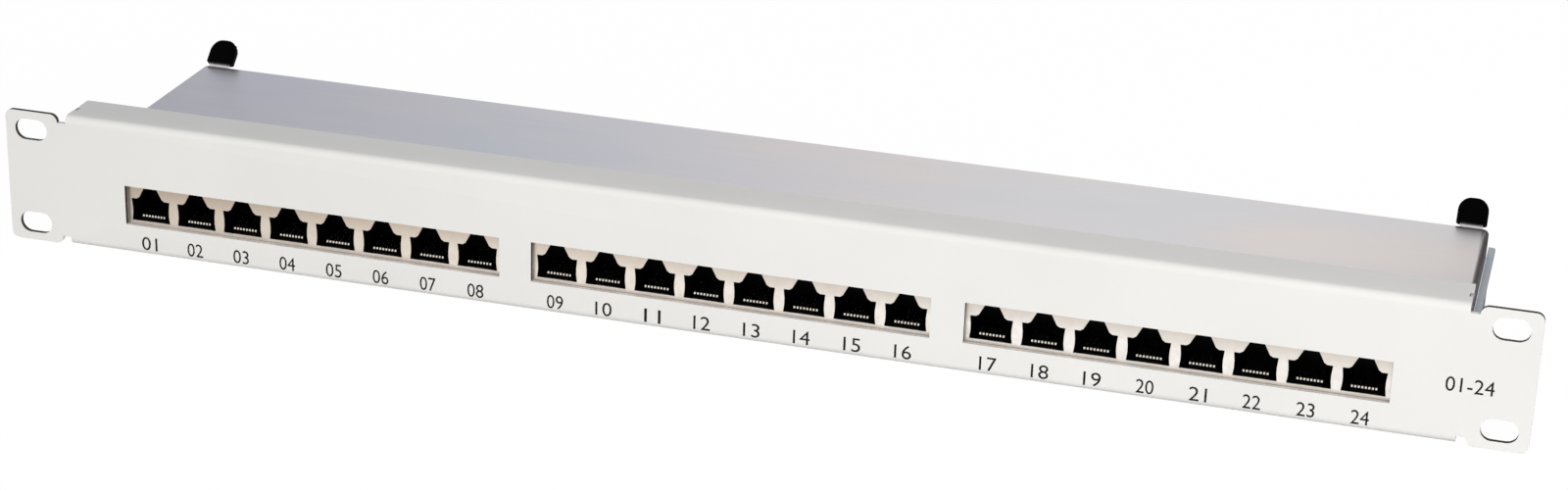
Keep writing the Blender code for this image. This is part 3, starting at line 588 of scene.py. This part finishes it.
def chamfered_section(width: float, thickness: float, chamfer: float) -> np.ndarray:
    """A rectangle with its corners cut off, as eight points round its middle.

    Args:
        width: the whole width.
        thickness: the whole thickness.
        chamfer: what each cut takes off both sides.

    Returns:
        An array of (8, 2).
    """
    wide, thick = width / 2, thickness / 2
    corner = np.array([(wide, thick - chamfer), (wide - chamfer, thick)])
    quarter = np.array([(-1, 1), (-1, -1), (1, -1)])
    second, third, fourth = (corner * signs for signs in quarter)
    return np.concatenate([corner, second[::-1], third, fourth[::-1]])


def arc(centre: Sequence[float], radius: float, start: float, end: float, steps: int) -> np.ndarray:
    """Points on an arc in a plane, as an array of (steps, 2), between two angles in degrees."""
    angle = np.radians(np.linspace(start, end, steps))
    return np.asarray(centre) + radius * np.stack([np.cos(angle), np.sin(angle)], -1)


def add_piece(
    name: str,
    mesh: Mesh,
    materials: Sequence[Material],
    body: Body,
    stands_for: Sequence[str] = (),
) -> Object:
    """Put a mesh into the scene as a piece of the panel.

    Args:
        name: the piece's name.
        mesh: its mesh, already in place.
        materials: its finishes.
        body: the body that it rides on.
        stands_for: the nodes that it replaces.

    Returns:
        The new object.
    """
    piece = bpy.data.objects.new(name, mesh)
    bpy.context.scene.collection.objects.link(piece)
    for material in materials:
        mesh.materials.append(material)
    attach(piece, body.value)
    if stands_for:
        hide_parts(*stands_for)
    LOG.info("%s rides on %s", name, body.value)
    return piece


def paint(node: str, material: Material) -> None:
    """Give a node of the frame its finish.

    Args:
        node: the node.
        material: its finish.
    """
    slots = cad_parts[node].data.materials
    slots.clear()
    slots.append(material)
    LOG.info("%s painted %s", node, material.name)


def values_of(items: bpy.types.bpy_prop_collection, name: str) -> np.ndarray:
    """Read one vector of every item of a mesh.

    Args:
        items: the mesh's points or faces.
        name: the vector's name.

    Returns:
        An array of (n, 3).
    """
    values = np.empty(len(items) * 3)
    items.foreach_get(name, values)
    return values.reshape(-1, 3)


def node_mesh(node: str, name: str) -> Mesh:
    """A merged copy of a node's mesh.

    Args:
        node: the node.
        name: the copy's name.

    Returns:
        The copy, with its flat faces joined.
    """
    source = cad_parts[node].data
    corners = np.empty(len(source.loops), dtype=np.int32)
    source.loops.foreach_get("vertex_index", corners)
    return Surface(values_of(source.vertices, "co"), corners.reshape(-1, 3)).mesh(name)


def roll_edges(piece: Object, radius: float, segments: int = 2) -> None:
    """Round a piece's sharp edges a little, so that they catch the light.

    Args:
        piece: the piece.
        radius: width of the rounding.
        segments: how many steps it has.
    """
    bevel = piece.modifiers.new("rolled_edges", "BEVEL")
    bevel.width = radius
    bevel.segments = segments
    bevel.limit_method = "ANGLE"
    bevel.angle_limit = SHARP_ANGLE
    bevel.harden_normals = True
    bevel.material = 0


def rolled_copy(
    node: str,
    name: str,
    materials: Sequence[Material],
    body: Body,
    radius: float,
    segments: int = 2,
) -> Mesh:
    """Show a node as a merged copy of itself with rolled edges.

    Args:
        node: the node, which the copy replaces.
        name: the copy's name.
        materials: its finishes.
        body: the body that it rides on.
        radius: width of the rounding.
        segments: how many steps the rounding has.

    Returns:
        The copy's mesh.
    """
    piece = add_piece(name, node_mesh(node, name), materials, body, [node])
    roll_edges(piece, radius, segments)
    return piece.data


def middle_of(node: str) -> Vector:
    """The middle of a node's box."""
    low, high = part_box(node)
    return (low + high) / 2


def socket_x(port: int) -> float:
    """X of the middle of a port's socket."""
    return middle_of(f"jack_body_{port:02d}").x


@dataclass
class FrontPanel:
    """The folded front panel and its printed port numbers."""

    finishes: Finishes
    sheet: float = 1.5 * MM
    bend: float = 2.3 * MM
    flange_depth: float = 16.0 * MM
    relief: float = 2.5 * MM
    edge_radius: float = 0.22 * MM
    number_width: float = 5.3 * MM
    number_height: float = 4.5 * MM
    number_middle: float = 4.1 * MM
    range_place: tuple[float, float] = (222.8 * MM, 18.8 * MM)
    range_width: float = 14.0 * MM
    range_height: float = 4.6 * MM
    ink_height: float = 0.02 * MM
    ink_root: float = 0.1 * MM
    letter_steps: int = 6
    # Letters are drawn this deep before they get their size
    letter_depth: float = 0.5
    # A face looks along an axis where that part of its normal is longer than this
    facing: float = 0.5

    def build(self) -> None:
        """Make the panel and its print."""
        self.low, self.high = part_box("front_panel")
        coat = [self.finishes.coat, self.finishes.edge, self.finishes.thin_coat_painted_light]
        mesh = rolled_copy("front_panel", "front_panel_sheet", coat, Body.HOUSING, self.edge_radius)
        mesh.polygons.foreach_set("material_index", self.cut_faces(mesh))
        self.print_numbers()

    def cut_faces(self, mesh: Mesh) -> np.ndarray:
        """Sort the faces by what covers them: coat, bare sheared steel on the ears and the openings' ends, or a thin
        coat, whitened by painted light, on the sills and the flanges' rear edges.

        Args:
            mesh: the panel's mesh.

        Returns:
            The number of each face's material.
        """
        normal = values_of(mesh.polygons, "normal")
        centre = values_of(mesh.polygons, "center")
        points = values_of(mesh.vertices, "co")
        depth = centre[:, 1] - self.low.y
        height = np.minimum(centre[:, 2] - self.low.z, self.high.z - centre[:, 2])
        behind = points[:, 1] > self.low.y + self.flange_depth / 2
        flange_end = np.abs(points[behind, 0]).max()
        across = (depth < self.sheet) & (np.abs(normal[:, 1]) < self.facing)
        aside = np.abs(centre[:, 0]) - flange_end
        lower_relief = (centre[:, 2] < self.low.z + self.bend) & (aside < 2 * self.relief)
        on_ear = across & (aside > self.relief) & ~lower_relief
        in_opening = across & (height > 2 * self.bend) & (aside < -self.relief)
        bare = on_ear | (in_opening & (np.abs(normal[:, 0]) > self.facing))
        rear = (depth > self.flange_depth - self.sheet / 2) & (normal[:, 1] > self.facing)
        # The sills and rear edges get a coat whiter than the rest: painted light where they lie in shade
        coated = np.where(in_opening | rear, Cover.THIN.value, Cover.COAT.value)
        return np.where(bare, Cover.BARE.value, coated).astype(np.int32)

    def print_numbers(self) -> None:
        """Print a two-digit number under each socket, and the range of numbers at the right."""
        last = BLOCKS * BLOCK_PORTS
        prints = [
            self.lettering(f"{port:02d}", socket_x(port), self.number_middle) for port in range(1, last + 1)
        ]
        x, z = self.range_place
        prints.append(self.lettering(f"01-{last}", x, z, self.range_width, self.range_height))
        shape = bmesh.new()
        for part in prints:
            shape.from_mesh(part)
        mesh = bpy.data.meshes.new("port_numbers")
        shape.to_mesh(mesh)
        shape.free()
        add_piece("port_numbers", mesh, [self.finishes.ink], Body.HOUSING)

    def lettering(
        self, text: str, x: float, z: float, width: float | None = None, height: float | None = None
    ) -> Mesh:
        """Set digits as a thin layer of ink that stands just proud of the panel's face and is rooted in it, so that
        it also meets the start of the bend.

        Args:
            text: the digits.
            x: middle of the text.
            z: middle height of the text.
            width: the text's whole width, or that of a port's number.
            height: the text's height, or that of a port's number.

        Returns:
            The ink's mesh.
        """
        curve = bpy.data.curves.new("lettering", "FONT")
        curve.body = text
        curve.resolution_u = self.letter_steps
        curve.extrude = self.letter_depth
        drawing = bpy.data.objects.new("lettering", curve)
        bpy.context.scene.collection.objects.link(drawing)
        graph = bpy.context.evaluated_depsgraph_get()
        mesh = bpy.data.meshes.new_from_object(drawing.evaluated_get(graph))
        bpy.data.objects.remove(drawing)
        points = values_of(mesh.vertices, "co")
        low, high = points.min(0), points.max(0)
        unit = (points - (low + high) / 2) / (high - low)
        place_x = x + unit[:, 0] * (width or self.number_width)
        place_z = z + unit[:, 1] * (height or self.number_height)
        place_y = self.low.y + np.where(unit[:, 2] > 0, -self.ink_height, self.ink_root)
        mesh.vertices.foreach_set("co", np.stack([place_x, place_y, place_z], -1).ravel())
        return mesh


@dataclass
class SocketBlock:
    """Eight sockets: their shield, mouldings, contact carrier and contact wires."""

    finishes: Finishes
    number: int
    wires: int = 8
    wire_pitch: float = 1.02 * MM
    wire_width: float = 0.68 * MM
    wire_thickness: float = 0.3 * MM
    wire_chamfer: float = 0.08 * MM
    bar_depth: float = 2.2 * MM
    floor_rise: float = 2.6 * MM
    front_bend: float = 0.6 * MM
    bend_steps: int = 8
    # The bends stand this far in front of the solid's wires, inside the sockets
    front_reach: float = 1.8 * MM
    spring_angle: float = 14.0
    spring_length: float = 7.6 * MM
    shield_edge: float = 0.06 * MM
    bar_edge: float = 0.2 * MM

    def build(self) -> None:
        """Make the block's pieces."""
        node, name = f"jack_shield_{self.number}", f"stamped_shield_{self.number}"
        rolled_copy(node, name, [self.finishes.shield], Body.HOUSING, self.shield_edge, segments=1)
        first = (self.number - 1) * BLOCK_PORTS + 1
        ports = range(first, first + BLOCK_PORTS)
        for port in ports:
            paint(f"jack_body_{port:02d}", self.finishes.black)
        self.build_contacts([socket_x(port) for port in ports])

    def build_contacts(self, middles: Sequence[float]) -> None:
        """Make the carrier bar and the wires that spring from it into each socket.

        Args:
            middles: X of each socket's middle.
        """
        node = f"contact_block_{self.number}"
        low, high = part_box(node)
        front = high.y - self.bar_depth
        bar = extruded(
            np.array([(low.x, low.z), (high.x, low.z), (high.x, high.z), (low.x, high.z)]), self.bar_depth
        ).moved(Matrix.Translation((0.0, (front + high.y) / 2, 0.0)))
        carrier = add_piece(
            f"contact_carrier_{self.number}",
            bar.mesh("contact_carrier"),
            [self.finishes.black],
            Body.HOUSING,
            [node],
        )
        roll_edges(carrier, self.bar_edge)
        offsets = (np.arange(self.wires) - (self.wires - 1) / 2) * self.wire_pitch
        places = (np.asarray(middles)[:, None] + offsets[None, :]).ravel()
        shifts = np.stack([places, 0 * places, 0 * places], -1)
        section = chamfered_section(self.wire_width, self.wire_thickness, self.wire_chamfer)
        wire = swept(section, self.wire_path(low.y, front, low.z))
        mesh = wire.copies(shifts).mesh("contact_wires")
        add_piece(f"contact_wires_{self.number}", mesh, [self.finishes.contact], Body.HOUSING)

    def wire_path(self, tip: float, front: float, board: float) -> np.ndarray:
        """A contact wire: forward along the socket's floor, round a tight front bend, then back and up as a spring.

        Args:
            tip: Y of the front of the solid's wires.
            front: Y of the carrier's face.
            board: Z of the carrier's foot.

        Returns:
            The path as an array of (n, 2), Y and Z.
        """
        floor = board + self.floor_rise
        half = self.wire_thickness / 2
        centre = (tip - self.front_reach + self.front_bend + half, floor + self.front_bend)
        # Round the front, from the bend's lowest point to where the spring leaves it
        bend = arc(centre, self.front_bend, 270.0, 90.0 + self.spring_angle, self.bend_steps)
        slope = np.radians(self.spring_angle)
        spring = bend[-1] + self.spring_length * np.array([[math.cos(slope), math.sin(slope)]])
        start = np.array([(front + half, floor)])
        return np.concatenate([start, bend, spring])


@dataclass
class TerminalBoard:
    """A circuit board with its two strips of wire terminals."""

    finishes: Finishes
    number: int
    slots: int = 32
    slot_depth: float = 6.8 * MM
    strip_edge: float = 0.22 * MM
    prong_outer: float = 1.02 * MM
    prong_inner: float = 0.16 * MM
    prong_height: float = 5.4 * MM
    prong_shoulder: float = 4.9 * MM
    prong_throat: float = 4.2 * MM
    blade_thickness: float = 0.45 * MM
    blade_turn: float = 45.0

    def build(self) -> None:
        """Make the board, the strips and their blades."""
        paint(f"circuit_board_{self.number}", self.finishes.board)
        last = self.number * BLOCK_PORTS
        reach = socket_x(last) - socket_x(last - BLOCK_PORTS + 1)
        pitch = reach / (BLOCK_PORTS - 1) * BLOCK_PORTS / self.slots
        for row in Row:
            node, name = (f"{kind}_strip_{row.value}_{self.number}" for kind in ("idc", "terminal"))
            rolled_copy(node, name, [self.finishes.terminal], Body.HOUSING, self.strip_edge)
            self.build_blades(row, node, pitch)

    def build_blades(self, row: Row, node: str, pitch: float) -> None:
        """Stand a forked blade in every slot of a strip: two prongs with a V between them, turned across the slot.

        Args:
            row: the strip's row.
            node: the strip's node.
            pitch: distance between slots.
        """
        low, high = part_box(node)
        foot = high.z - self.slot_depth
        half = np.array(
            [
                (self.prong_inner, 0.0),
                (self.prong_outer, 0.0),
                (self.prong_outer, self.prong_shoulder),
                (self.prong_outer - self.prong_inner, self.prong_height),
                (self.prong_inner, self.prong_throat),
            ]
        )
        prong = extruded(half, self.blade_thickness)
        turn = Matrix.Rotation(math.radians(self.blade_turn), 4, "Z")
        flip = Matrix.Rotation(math.pi, 4, "Z")
        x = (low.x + high.x) / 2 + (np.arange(self.slots) - (self.slots - 1) / 2) * pitch
        shifts = np.stack([x, 0 * x + (low.y + high.y) / 2, 0 * x + foot], -1)
        pair = prong.moved(turn).joined(prong.moved(turn @ flip))
        mesh = pair.copies(shifts).mesh("terminal_blades")
        add_piece(f"terminal_blades_{row.value}_{self.number}", mesh, [self.finishes.blade], Body.HOUSING)


@dataclass
class RearTray:
    """The zinc-plated tray with its comb, screws, rivets and earth terminal."""

    finishes: Finishes
    board_screws: int = 6
    rivets: int = 3
    sheet_edge: float = 0.16 * MM
    turned_steps: int = 40
    recess_arm: float = 1.45 * MM
    recess_half_width: float = 0.34 * MM
    recess_depth: float = 0.9 * MM
    recess_wall: float = 0.12 * MM
    recess_rim: float = 0.3 * MM
    recess_rings: int = 14
    head_rings: int = 4
    crown: float = 0.55 * MM
    shank_radius: float = 1.3 * MM
    head_height: float = 1.8 * MM
    rivet_radius: float = 1.6 * MM
    rivet_head: float = 1.0 * MM
    dome_steps: int = 9
    thread_pitch: float = 0.7 * MM
    thread_depth: float = 0.28 * MM
    thread_rows: int = 8
    nut_chamfer: float = 0.5 * MM
    nut_steps: int = 72
    bore_play: float = 0.05 * MM

    def build(self) -> None:
        """Make the tray's pieces."""
        for node, zinc in (("rear_tray", self.finishes.tray_zinc), ("cable_comb", self.finishes.zinc)):
            rolled_copy(node, f"{node}_sheet", [zinc], Body.HOUSING, self.sheet_edge)
        for index in range(1, self.board_screws + 1):
            self.build_screw(f"board_screw_{index}")
        for side in Side:
            self.build_screw(f"comb_screw_{side.value}")
        for index in range(1, self.rivets + 1):
            self.build_rivet(f"flange_rivet_{index}")
        self.build_stud()
        self.build_nut()

    def add_steel(self, node: str, surface: Surface) -> None:
        """Put a turned piece in its node's place, standing on the middle of the node's underside.

        Args:
            node: the node.
            surface: the piece, standing on the origin.
        """
        low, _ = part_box(node)
        middle = middle_of(node)
        placed = surface.moved(Matrix.Translation((middle.x, middle.y, low.z)))
        add_piece(f"{node}_turned", placed.mesh(node), [self.finishes.steel], Body.HOUSING, [node])

    def build_screw(self, node: str) -> None:
        """A pan-head screw with a cross recess. The head's top is a height over polar rings: a crown that falls
        with the square of the radius, less the recess where either arm of the cross runs.

        Args:
            node: the screw's node.
        """
        low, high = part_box(node)
        head_radius = (high.x - low.x) / 2
        length = high.z - low.z - self.head_height
        inner = self.recess_arm + self.recess_rim
        outer = np.linspace(inner, head_radius, self.head_rings + 1)[1:]
        radius = np.concatenate([np.linspace(0.0, inner, self.recess_rings), outer])[:, None]
        top = rings(radius, 0 * radius, self.turned_steps)
        x, y = np.abs(top[..., 0]), np.abs(top[..., 1])
        arms = np.maximum(self.arm_mask(x, y), self.arm_mask(y, x))
        crown = self.head_height - self.crown * (radius / head_radius) ** 2
        top[..., 2] = length + crown - self.recess_depth * arms
        below = np.array([(head_radius, length), (self.shank_radius, length), (self.shank_radius, 0.0), (0.0, 0.0)])
        rest = rings(below[:, :1], below[:, 1:], self.turned_steps)
        self.add_steel(node, grid_surface(np.concatenate([top, rest])))

    def arm_mask(self, along: np.ndarray, across: np.ndarray) -> np.ndarray:
        """One arm of a cross recess, with sloped walls.

        Args:
            along: distances along the arm.
            across: distances across it.

        Returns:
            One inside the arm, falling to zero through its walls.
        """
        wall = self.recess_wall
        inside = np.clip((self.recess_half_width + wall - across) / wall, 0.0, 1.0)
        return inside * np.clip((self.recess_arm + wall - along) / wall, 0.0, 1.0)

    def build_rivet(self, node: str) -> None:
        """A domed rivet: the head's profile is a quarter of an ellipse.

        Args:
            node: the rivet's node.
        """
        low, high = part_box(node)
        head_radius = (high.x - low.x) / 2
        length = high.z - low.z - self.rivet_head
        angle = np.linspace(math.pi / 2, 0.0, self.dome_steps)
        dome = np.stack([head_radius * np.cos(angle), length + self.rivet_head * np.sin(angle)], -1)
        shank = np.array([(self.rivet_radius, length), (self.rivet_radius, 0.0), (0.0, 0.0)])
        self.add_steel(node, turned(np.concatenate([dome, shank]), self.turned_steps))

    def build_stud(self) -> None:
        """The threaded earth stud: its radius falls by a triangle wave of the height less the turn's share of the
        pitch."""
        low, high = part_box("earth_stud")
        radius = (high.x - low.x) / 2
        length = high.z - low.z
        height = np.linspace(0.0, length, int(self.thread_rows * length / self.thread_pitch))[:, None]
        turn = np.arange(self.turned_steps) / self.turned_steps
        groove = self.thread_depth * np.abs(2 * ((height / self.thread_pitch - turn) % 1.0) - 1)
        thread = rings(radius - groove, height, self.turned_steps)
        ends = np.zeros((2, 1, self.turned_steps, 3))
        ends[1, ..., 2] = length
        self.add_steel("earth_stud", grid_surface(np.concatenate([ends[0], thread, ends[1]])))

    def build_nut(self) -> None:
        """The earth nut: at each angle the radius is the least of the hexagon's and of a chamfer cone's.

        The hexagon's radius is its half width over the cosine of the angle from the nearest flat."""
        low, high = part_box("earth_nut")
        thickness = high.z - low.z
        flat = min(high.x - low.x, high.y - low.y) / 2
        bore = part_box("earth_stud")[1].x - middle_of("earth_stud").x + self.bore_play
        sixth = math.pi / 3
        angle = np.arange(self.nut_steps) * FULL_TURN / self.nut_steps
        start = 0.0 if high.y - low.y < high.x - low.x else sixth / 2
        hexagon = flat / np.cos((angle - start + sixth / 2) % sixth - sixth / 2)
        corner = flat / math.cos(sixth / 2)
        outer = np.minimum(hexagon, np.array([flat, corner, corner, flat])[:, None])
        radius = np.concatenate([outer, np.full((2, self.nut_steps), bore), outer[:1]])
        chamfer = self.nut_chamfer
        level = np.array([0.0, chamfer, thickness - chamfer, thickness, thickness, 0.0, 0.0])[:, None]
        self.add_steel("earth_nut", grid_surface(rings(radius, level, self.nut_steps)))


@dataclass
class LidCover:
    """The hinged lid with its dipped tab caps and its hinge pins."""

    finishes: Finishes
    sheet_edge: float = 0.16 * MM
    tab_tilt: float = 43.0
    cap_half_length: float = 4.15 * MM
    cap_half_width: float = 4.8 * MM
    cap_half_thickness: float = 1.7 * MM
    cap_wall: float = 0.9 * MM
    cap_corner: float = 4.5 * MM
    cap_edge: float = 1.2 * MM
    cap_pocket: float = 6.8 * MM
    # The mouth reaches this far past the solid cap, along the tab
    cap_skirt: float = 0.6 * MM
    cap_lip: float = 0.25 * MM
    cap_power: float = 5.0
    cap_steps: int = 48
    cap_rings: int = 10
    pin_edge: float = 0.2 * MM

    def build(self) -> None:
        """Make the lid's pieces."""
        rolled_copy("lid", "lid_sheet", [self.finishes.zinc], Body.LID, self.sheet_edge)
        for side in Side:
            self.build_cap(f"{side.value}_tab_cap")
            # The pins stay with the tray
            pin = f"{side.value}_hinge_pin"
            rolled_copy(pin, f"{pin}_turned", [self.finishes.steel], Body.HOUSING, self.pin_edge)

    def build_cap(self, node: str) -> None:
        """A dipped cap: sections |x / a|^n + |w / b|^n = 1 carried along the tab. Near the far end a and b close in
        on quarter circles, and at the mouth the surface turns in and lines the pocket.

        Args:
            node: the cap's node.
        """
        length, lip, foot = 2 * self.cap_half_length, self.cap_lip, -self.cap_skirt
        wide, thick = self.cap_half_width, self.cap_half_thickness
        corner = np.radians(np.linspace(90.0, 0.0, self.cap_rings))
        along = length - self.cap_corner * (1 - np.sin(corner))
        rise = np.clip((along - (length - self.cap_edge)) / self.cap_edge, 0.0, 1.0)
        end_wide = wide - self.cap_corner * (1 - np.cos(corner))
        end_thick = thick - self.cap_edge * (1 - np.sqrt(1 - rise**2))
        inner_wide, inner_thick = wide - self.cap_wall, thick - self.cap_wall
        mouth = [
            (foot + lip, wide, thick),
            (foot, wide - lip, thick - lip),
            (foot, inner_wide + lip, inner_thick + lip),
            (foot + lip, inner_wide, inner_thick),
            (self.cap_pocket, inner_wide, inner_thick),
            (self.cap_pocket, 0.0, 0.0),
        ]
        profile = np.concatenate([[(length, 0.0, 0.0)], np.stack([along, end_wide, end_thick], -1), mouth])
        angle = np.arange(self.cap_steps) * FULL_TURN / self.cap_steps
        cosine, sine = np.cos(angle), np.sin(angle)
        across = np.sign(cosine) * np.abs(cosine) ** (2 / self.cap_power)
        through = np.sign(sine) * np.abs(sine) ** (2 / self.cap_power)
        along, half_wide, half_thick = profile.T[..., None]
        points = np.stack([half_wide * across, along + 0 * angle, half_thick * through], -1)
        tilt = Matrix.Rotation(math.radians(self.tab_tilt), 4, "X")
        place = Matrix.Translation(middle_of(node)) @ tilt @ Matrix.Translation((0.0, -self.cap_half_length, 0.0))
        mesh = grid_surface(points).moved(place).mesh(node)
        add_piece(f"{node}_dipped", mesh, [self.finishes.vinyl], Body.LID, [node])


@dataclass(frozen=True)
class Lamp:
    """One soft studio lamp, which gives light and no highlights.

    Attributes:
        name: what it does.
        place: where it stands.
        aim: what it points at.
        size: its width and height.
        power: its power in watts.
    """

    name: str
    place: Point
    aim: Point
    size: tuple[float, float]
    power: float

    def light(self) -> None:
        """Hang the lamp."""
        data = bpy.data.lights.new(self.name, "AREA")
        data.shape = "RECTANGLE"
        data.size, data.size_y = self.size
        data.energy = self.power
        lamp = bpy.data.objects.new(self.name, data)
        lamp.visible_glossy = False
        lamp.location = self.place
        lamp.rotation_euler = (Vector(self.aim) - Vector(self.place)).to_track_quat("-Z", "Y").to_euler()
        bpy.context.scene.collection.objects.link(lamp)
        LOG.info("lamp %s", self.name)


def add_stage(name: str, corners: Sequence[Point], material: Material) -> Object:
    """Put a flat sheet into the scene as part of the stage.

    Args:
        name: the sheet's name.
        corners: its corners, in order.
        material: its finish.

    Returns:
        The new object.
    """
    mesh = bpy.data.meshes.new(name)
    mesh.from_pydata(corners, [], [range(len(corners))])
    mesh.materials.append(material)
    sheet = bpy.data.objects.new(name, mesh)
    bpy.context.scene.collection.objects.link(sheet)
    return sheet


@dataclass(frozen=True)
class Card:
    """A glowing card that only metal shows: its tones are painted reflections.

    Attributes:
        name: what it is.
        low: its left corner that is lowest or nearest.
        high: the corner across from that.
        tones: places from 0 at its left to 1 at its right, and the colour of the painted reflection at each.
    """

    name: str
    low: Point
    high: Point
    tones: tuple[tuple[float, str], ...]

    def stand(self) -> None:
        """Stand the card up as part of the stage."""
        left, front, foot = self.low
        right, back, top = self.high
        corners = [(left, front, foot), (right, front, foot), (right, back, top), (left, back, top)]
        card = add_stage(self.name, corners, self.paper())
        for ray in ("camera", "diffuse", "transmission", "volume_scatter", "shadow"):
            setattr(card, f"visible_{ray}", False)

    def paper(self) -> Material:
        """A glow whose tone runs from left to right, painted as a reflection for metal to show.

        Returns:
            The material.
        """
        material = blank_material(self.name)
        tree = material.node_tree
        place = add_node(tree, "ShaderNodeTexCoord", {}).outputs["Object"]
        along = add_node(tree, "ShaderNodeSeparateXYZ", {"Vector": place}).outputs["X"]
        reach = {"From Min": self.low[0], "From Max": self.high[0]}
        share = add_node(tree, "ShaderNodeMapRange", {"Value": along, **reach})
        ramp = add_node(tree, "ShaderNodeValToRGB", {"Fac": share})
        steps = ramp.color_ramp.elements
        for index, (at, colour) in enumerate(self.tones):
            step = steps[index] if index < len(steps) else steps.new(at)
            step.position = at
            step.color = linear(colour)
        glow = add_node(tree, "ShaderNodeEmission", {"Color": ramp})
        add_node(tree, "ShaderNodeOutputMaterial", {"Surface": glow})
        return material


@dataclass(frozen=True)
class Studio:
    """Camera, floor, backdrop light, lamps, and cards that paint reflections."""

    camera_place: Point = (0.25531, -0.929224, 0.40497)
    camera_right: Point = (0.96121, 0.27413, 0.03055)
    camera_up: Point = (-0.13112, 0.35667, 0.92497)
    lens: float = 74.87
    sensor: float = 36.0
    floor_half: float = 3.0
    floor_drop: float = 0.2 * MM
    floor_paper: str = "#9A9A98"
    floor_glow: float = 1.13
    floor_glow_share: float = 0.86
    ambient: float = 0.4
    lamps: tuple[Lamp, ...] = (
        Lamp("front_key", (0.8, -1.0, 0.58), (0.05, 0.0, 0.02), (0.7, 0.5), 8.1),
        Lamp("low_fill", (-0.6, -2.2, 0.14), (-0.05, 0.0, 0.02), (2.8, 0.25), 22.4),
        Lamp("rear_fill", (0.2, 2.2, 0.16), (0.0, 0.0, 0.02), (2.8, 0.25), 11.0),
    )
    # Painted reflections: a bluish left and a dark right end on the lid, and greyer shield heads to the left
    cards: tuple[Card, ...] = (
        Card(
            "rear_card",
            (-1.4, 0.8, 0.0),
            (1.2, 0.8, 1.1),
            (
                (0.0, "#B3B9C9"),
                (0.26, "#B3B9C9"),
                (0.51, WHITE),
                (0.625, WHITE),
                (0.685, "#4A4444"),
                (1.0, "#1E1A1A"),
            ),
        ),
        Card(
            "front_card",
            (-0.6, -0.9, 0.0),
            (0.6, -0.054, 0.0),
            ((0.0, "#C2B8AA"), (0.32, "#CFC6BA"), (0.43, "#F0EAE2"), (0.56, WHITE), (1.0, WHITE)),
        ),
        # Painted dark reflections along the lid's right edge
        Card(
            "edge_dark_reflection",
            (0.2235, -0.05, 0.0),
            (0.2635, 0.05, 0.0),
            ((0.0, "#1A1616"), (0.3, "#1A1616"), (1.0, "#D8D4D2")),
        ),
        Card("corner_dark_reflection", (0.2235, 0.05, 0.0), (0.9, 0.8, 0.0), ((0.0, "#1A1616"), (1.0, "#1A1616"))),
    )

    def build(self) -> None:
        """Set up everything round the object."""
        bpy.context.scene.view_settings.view_transform = "Standard"
        self.set_camera()
        self.set_world()
        self.lay_floor()
        for lamp in self.lamps:
            lamp.light()
        for card in self.cards:
            card.stand()

    def set_camera(self) -> None:
        """Stand the camera where the photograph was taken from."""
        data = bpy.data.cameras.new("camera")
        data.sensor_fit = "HORIZONTAL"
        data.sensor_width = self.sensor
        data.lens = self.lens
        right = Vector(self.camera_right).normalized()
        up = Vector(self.camera_up).normalized()
        turn = Matrix((right, up, right.cross(up))).transposed().to_4x4()
        camera = bpy.data.objects.new("camera", data)
        camera.matrix_world = Matrix.Translation(self.camera_place) @ turn
        bpy.context.scene.collection.objects.link(camera)
        bpy.context.scene.camera = camera

    def shown_share(self, tree: NodeTree) -> Node:
        """One for camera, glossy and transmission rays, and zero for the rays that carry light.

        Args:
            tree: the node tree.

        Returns:
            The node that gives the share.
        """
        rays = add_node(tree, "ShaderNodeLightPath", {}).outputs
        seen = rays["Is Camera Ray"]
        for kind in ("Is Glossy Ray", "Is Transmission Ray"):
            seen = add_node(tree, "ShaderNodeMath", {0: seen, 1: rays[kind]}, operation="MAXIMUM")
        return seen

    def set_world(self) -> None:
        """A white surround to look at, which gives a plainer level of light."""
        world = bpy.data.worlds.new("studio")
        bpy.context.scene.world = world
        world.use_nodes = True
        tree = world.node_tree
        tree.nodes.clear()
        level = {"Value": self.shown_share(tree), "To Min": self.ambient}
        strength = add_node(tree, "ShaderNodeMapRange", level)
        glow = add_node(tree, "ShaderNodeBackground", {"Color": linear(WHITE), "Strength": strength})
        add_node(tree, "ShaderNodeOutputWorld", {"Surface": glow})

    def lay_floor(self) -> None:
        """A pale floor that is white to look at and keeps a soft shadow."""
        material = blank_material("white_paper_floor")
        tree = material.node_tree
        paper = add_node(tree, "ShaderNodeBsdfDiffuse", {"Color": linear(self.floor_paper)})
        glow = add_node(tree, "ShaderNodeEmission", {"Color": linear(WHITE), "Strength": self.floor_glow})
        seen = {0: self.shown_share(tree), 1: self.floor_glow_share}
        share = add_node(tree, "ShaderNodeMath", seen, operation="MULTIPLY")
        mix = add_node(tree, "ShaderNodeMixShader", {0: share, 1: paper, 2: glow})
        add_node(tree, "ShaderNodeOutputMaterial", {"Surface": mix})
        half, foot = self.floor_half, -self.floor_drop
        corners = [(-half, -half, foot), (half, -half, foot), (half, half, foot), (-half, half, foot)]
        add_stage("floor", corners, material)


def main() -> None:
    """Build the studio and every sub-assembly."""
    logging.basicConfig(level=logging.INFO, format="%(message)s")
    Studio().build()
    finishes = Finishes()
    FrontPanel(finishes).build()
    for number in range(1, BLOCKS + 1):
        SocketBlock(finishes, number).build()
        TerminalBoard(finishes, number).build()
    RearTray(finishes).build()
    LidCover(finishes).build()


if __name__ == "__main__":
    main()
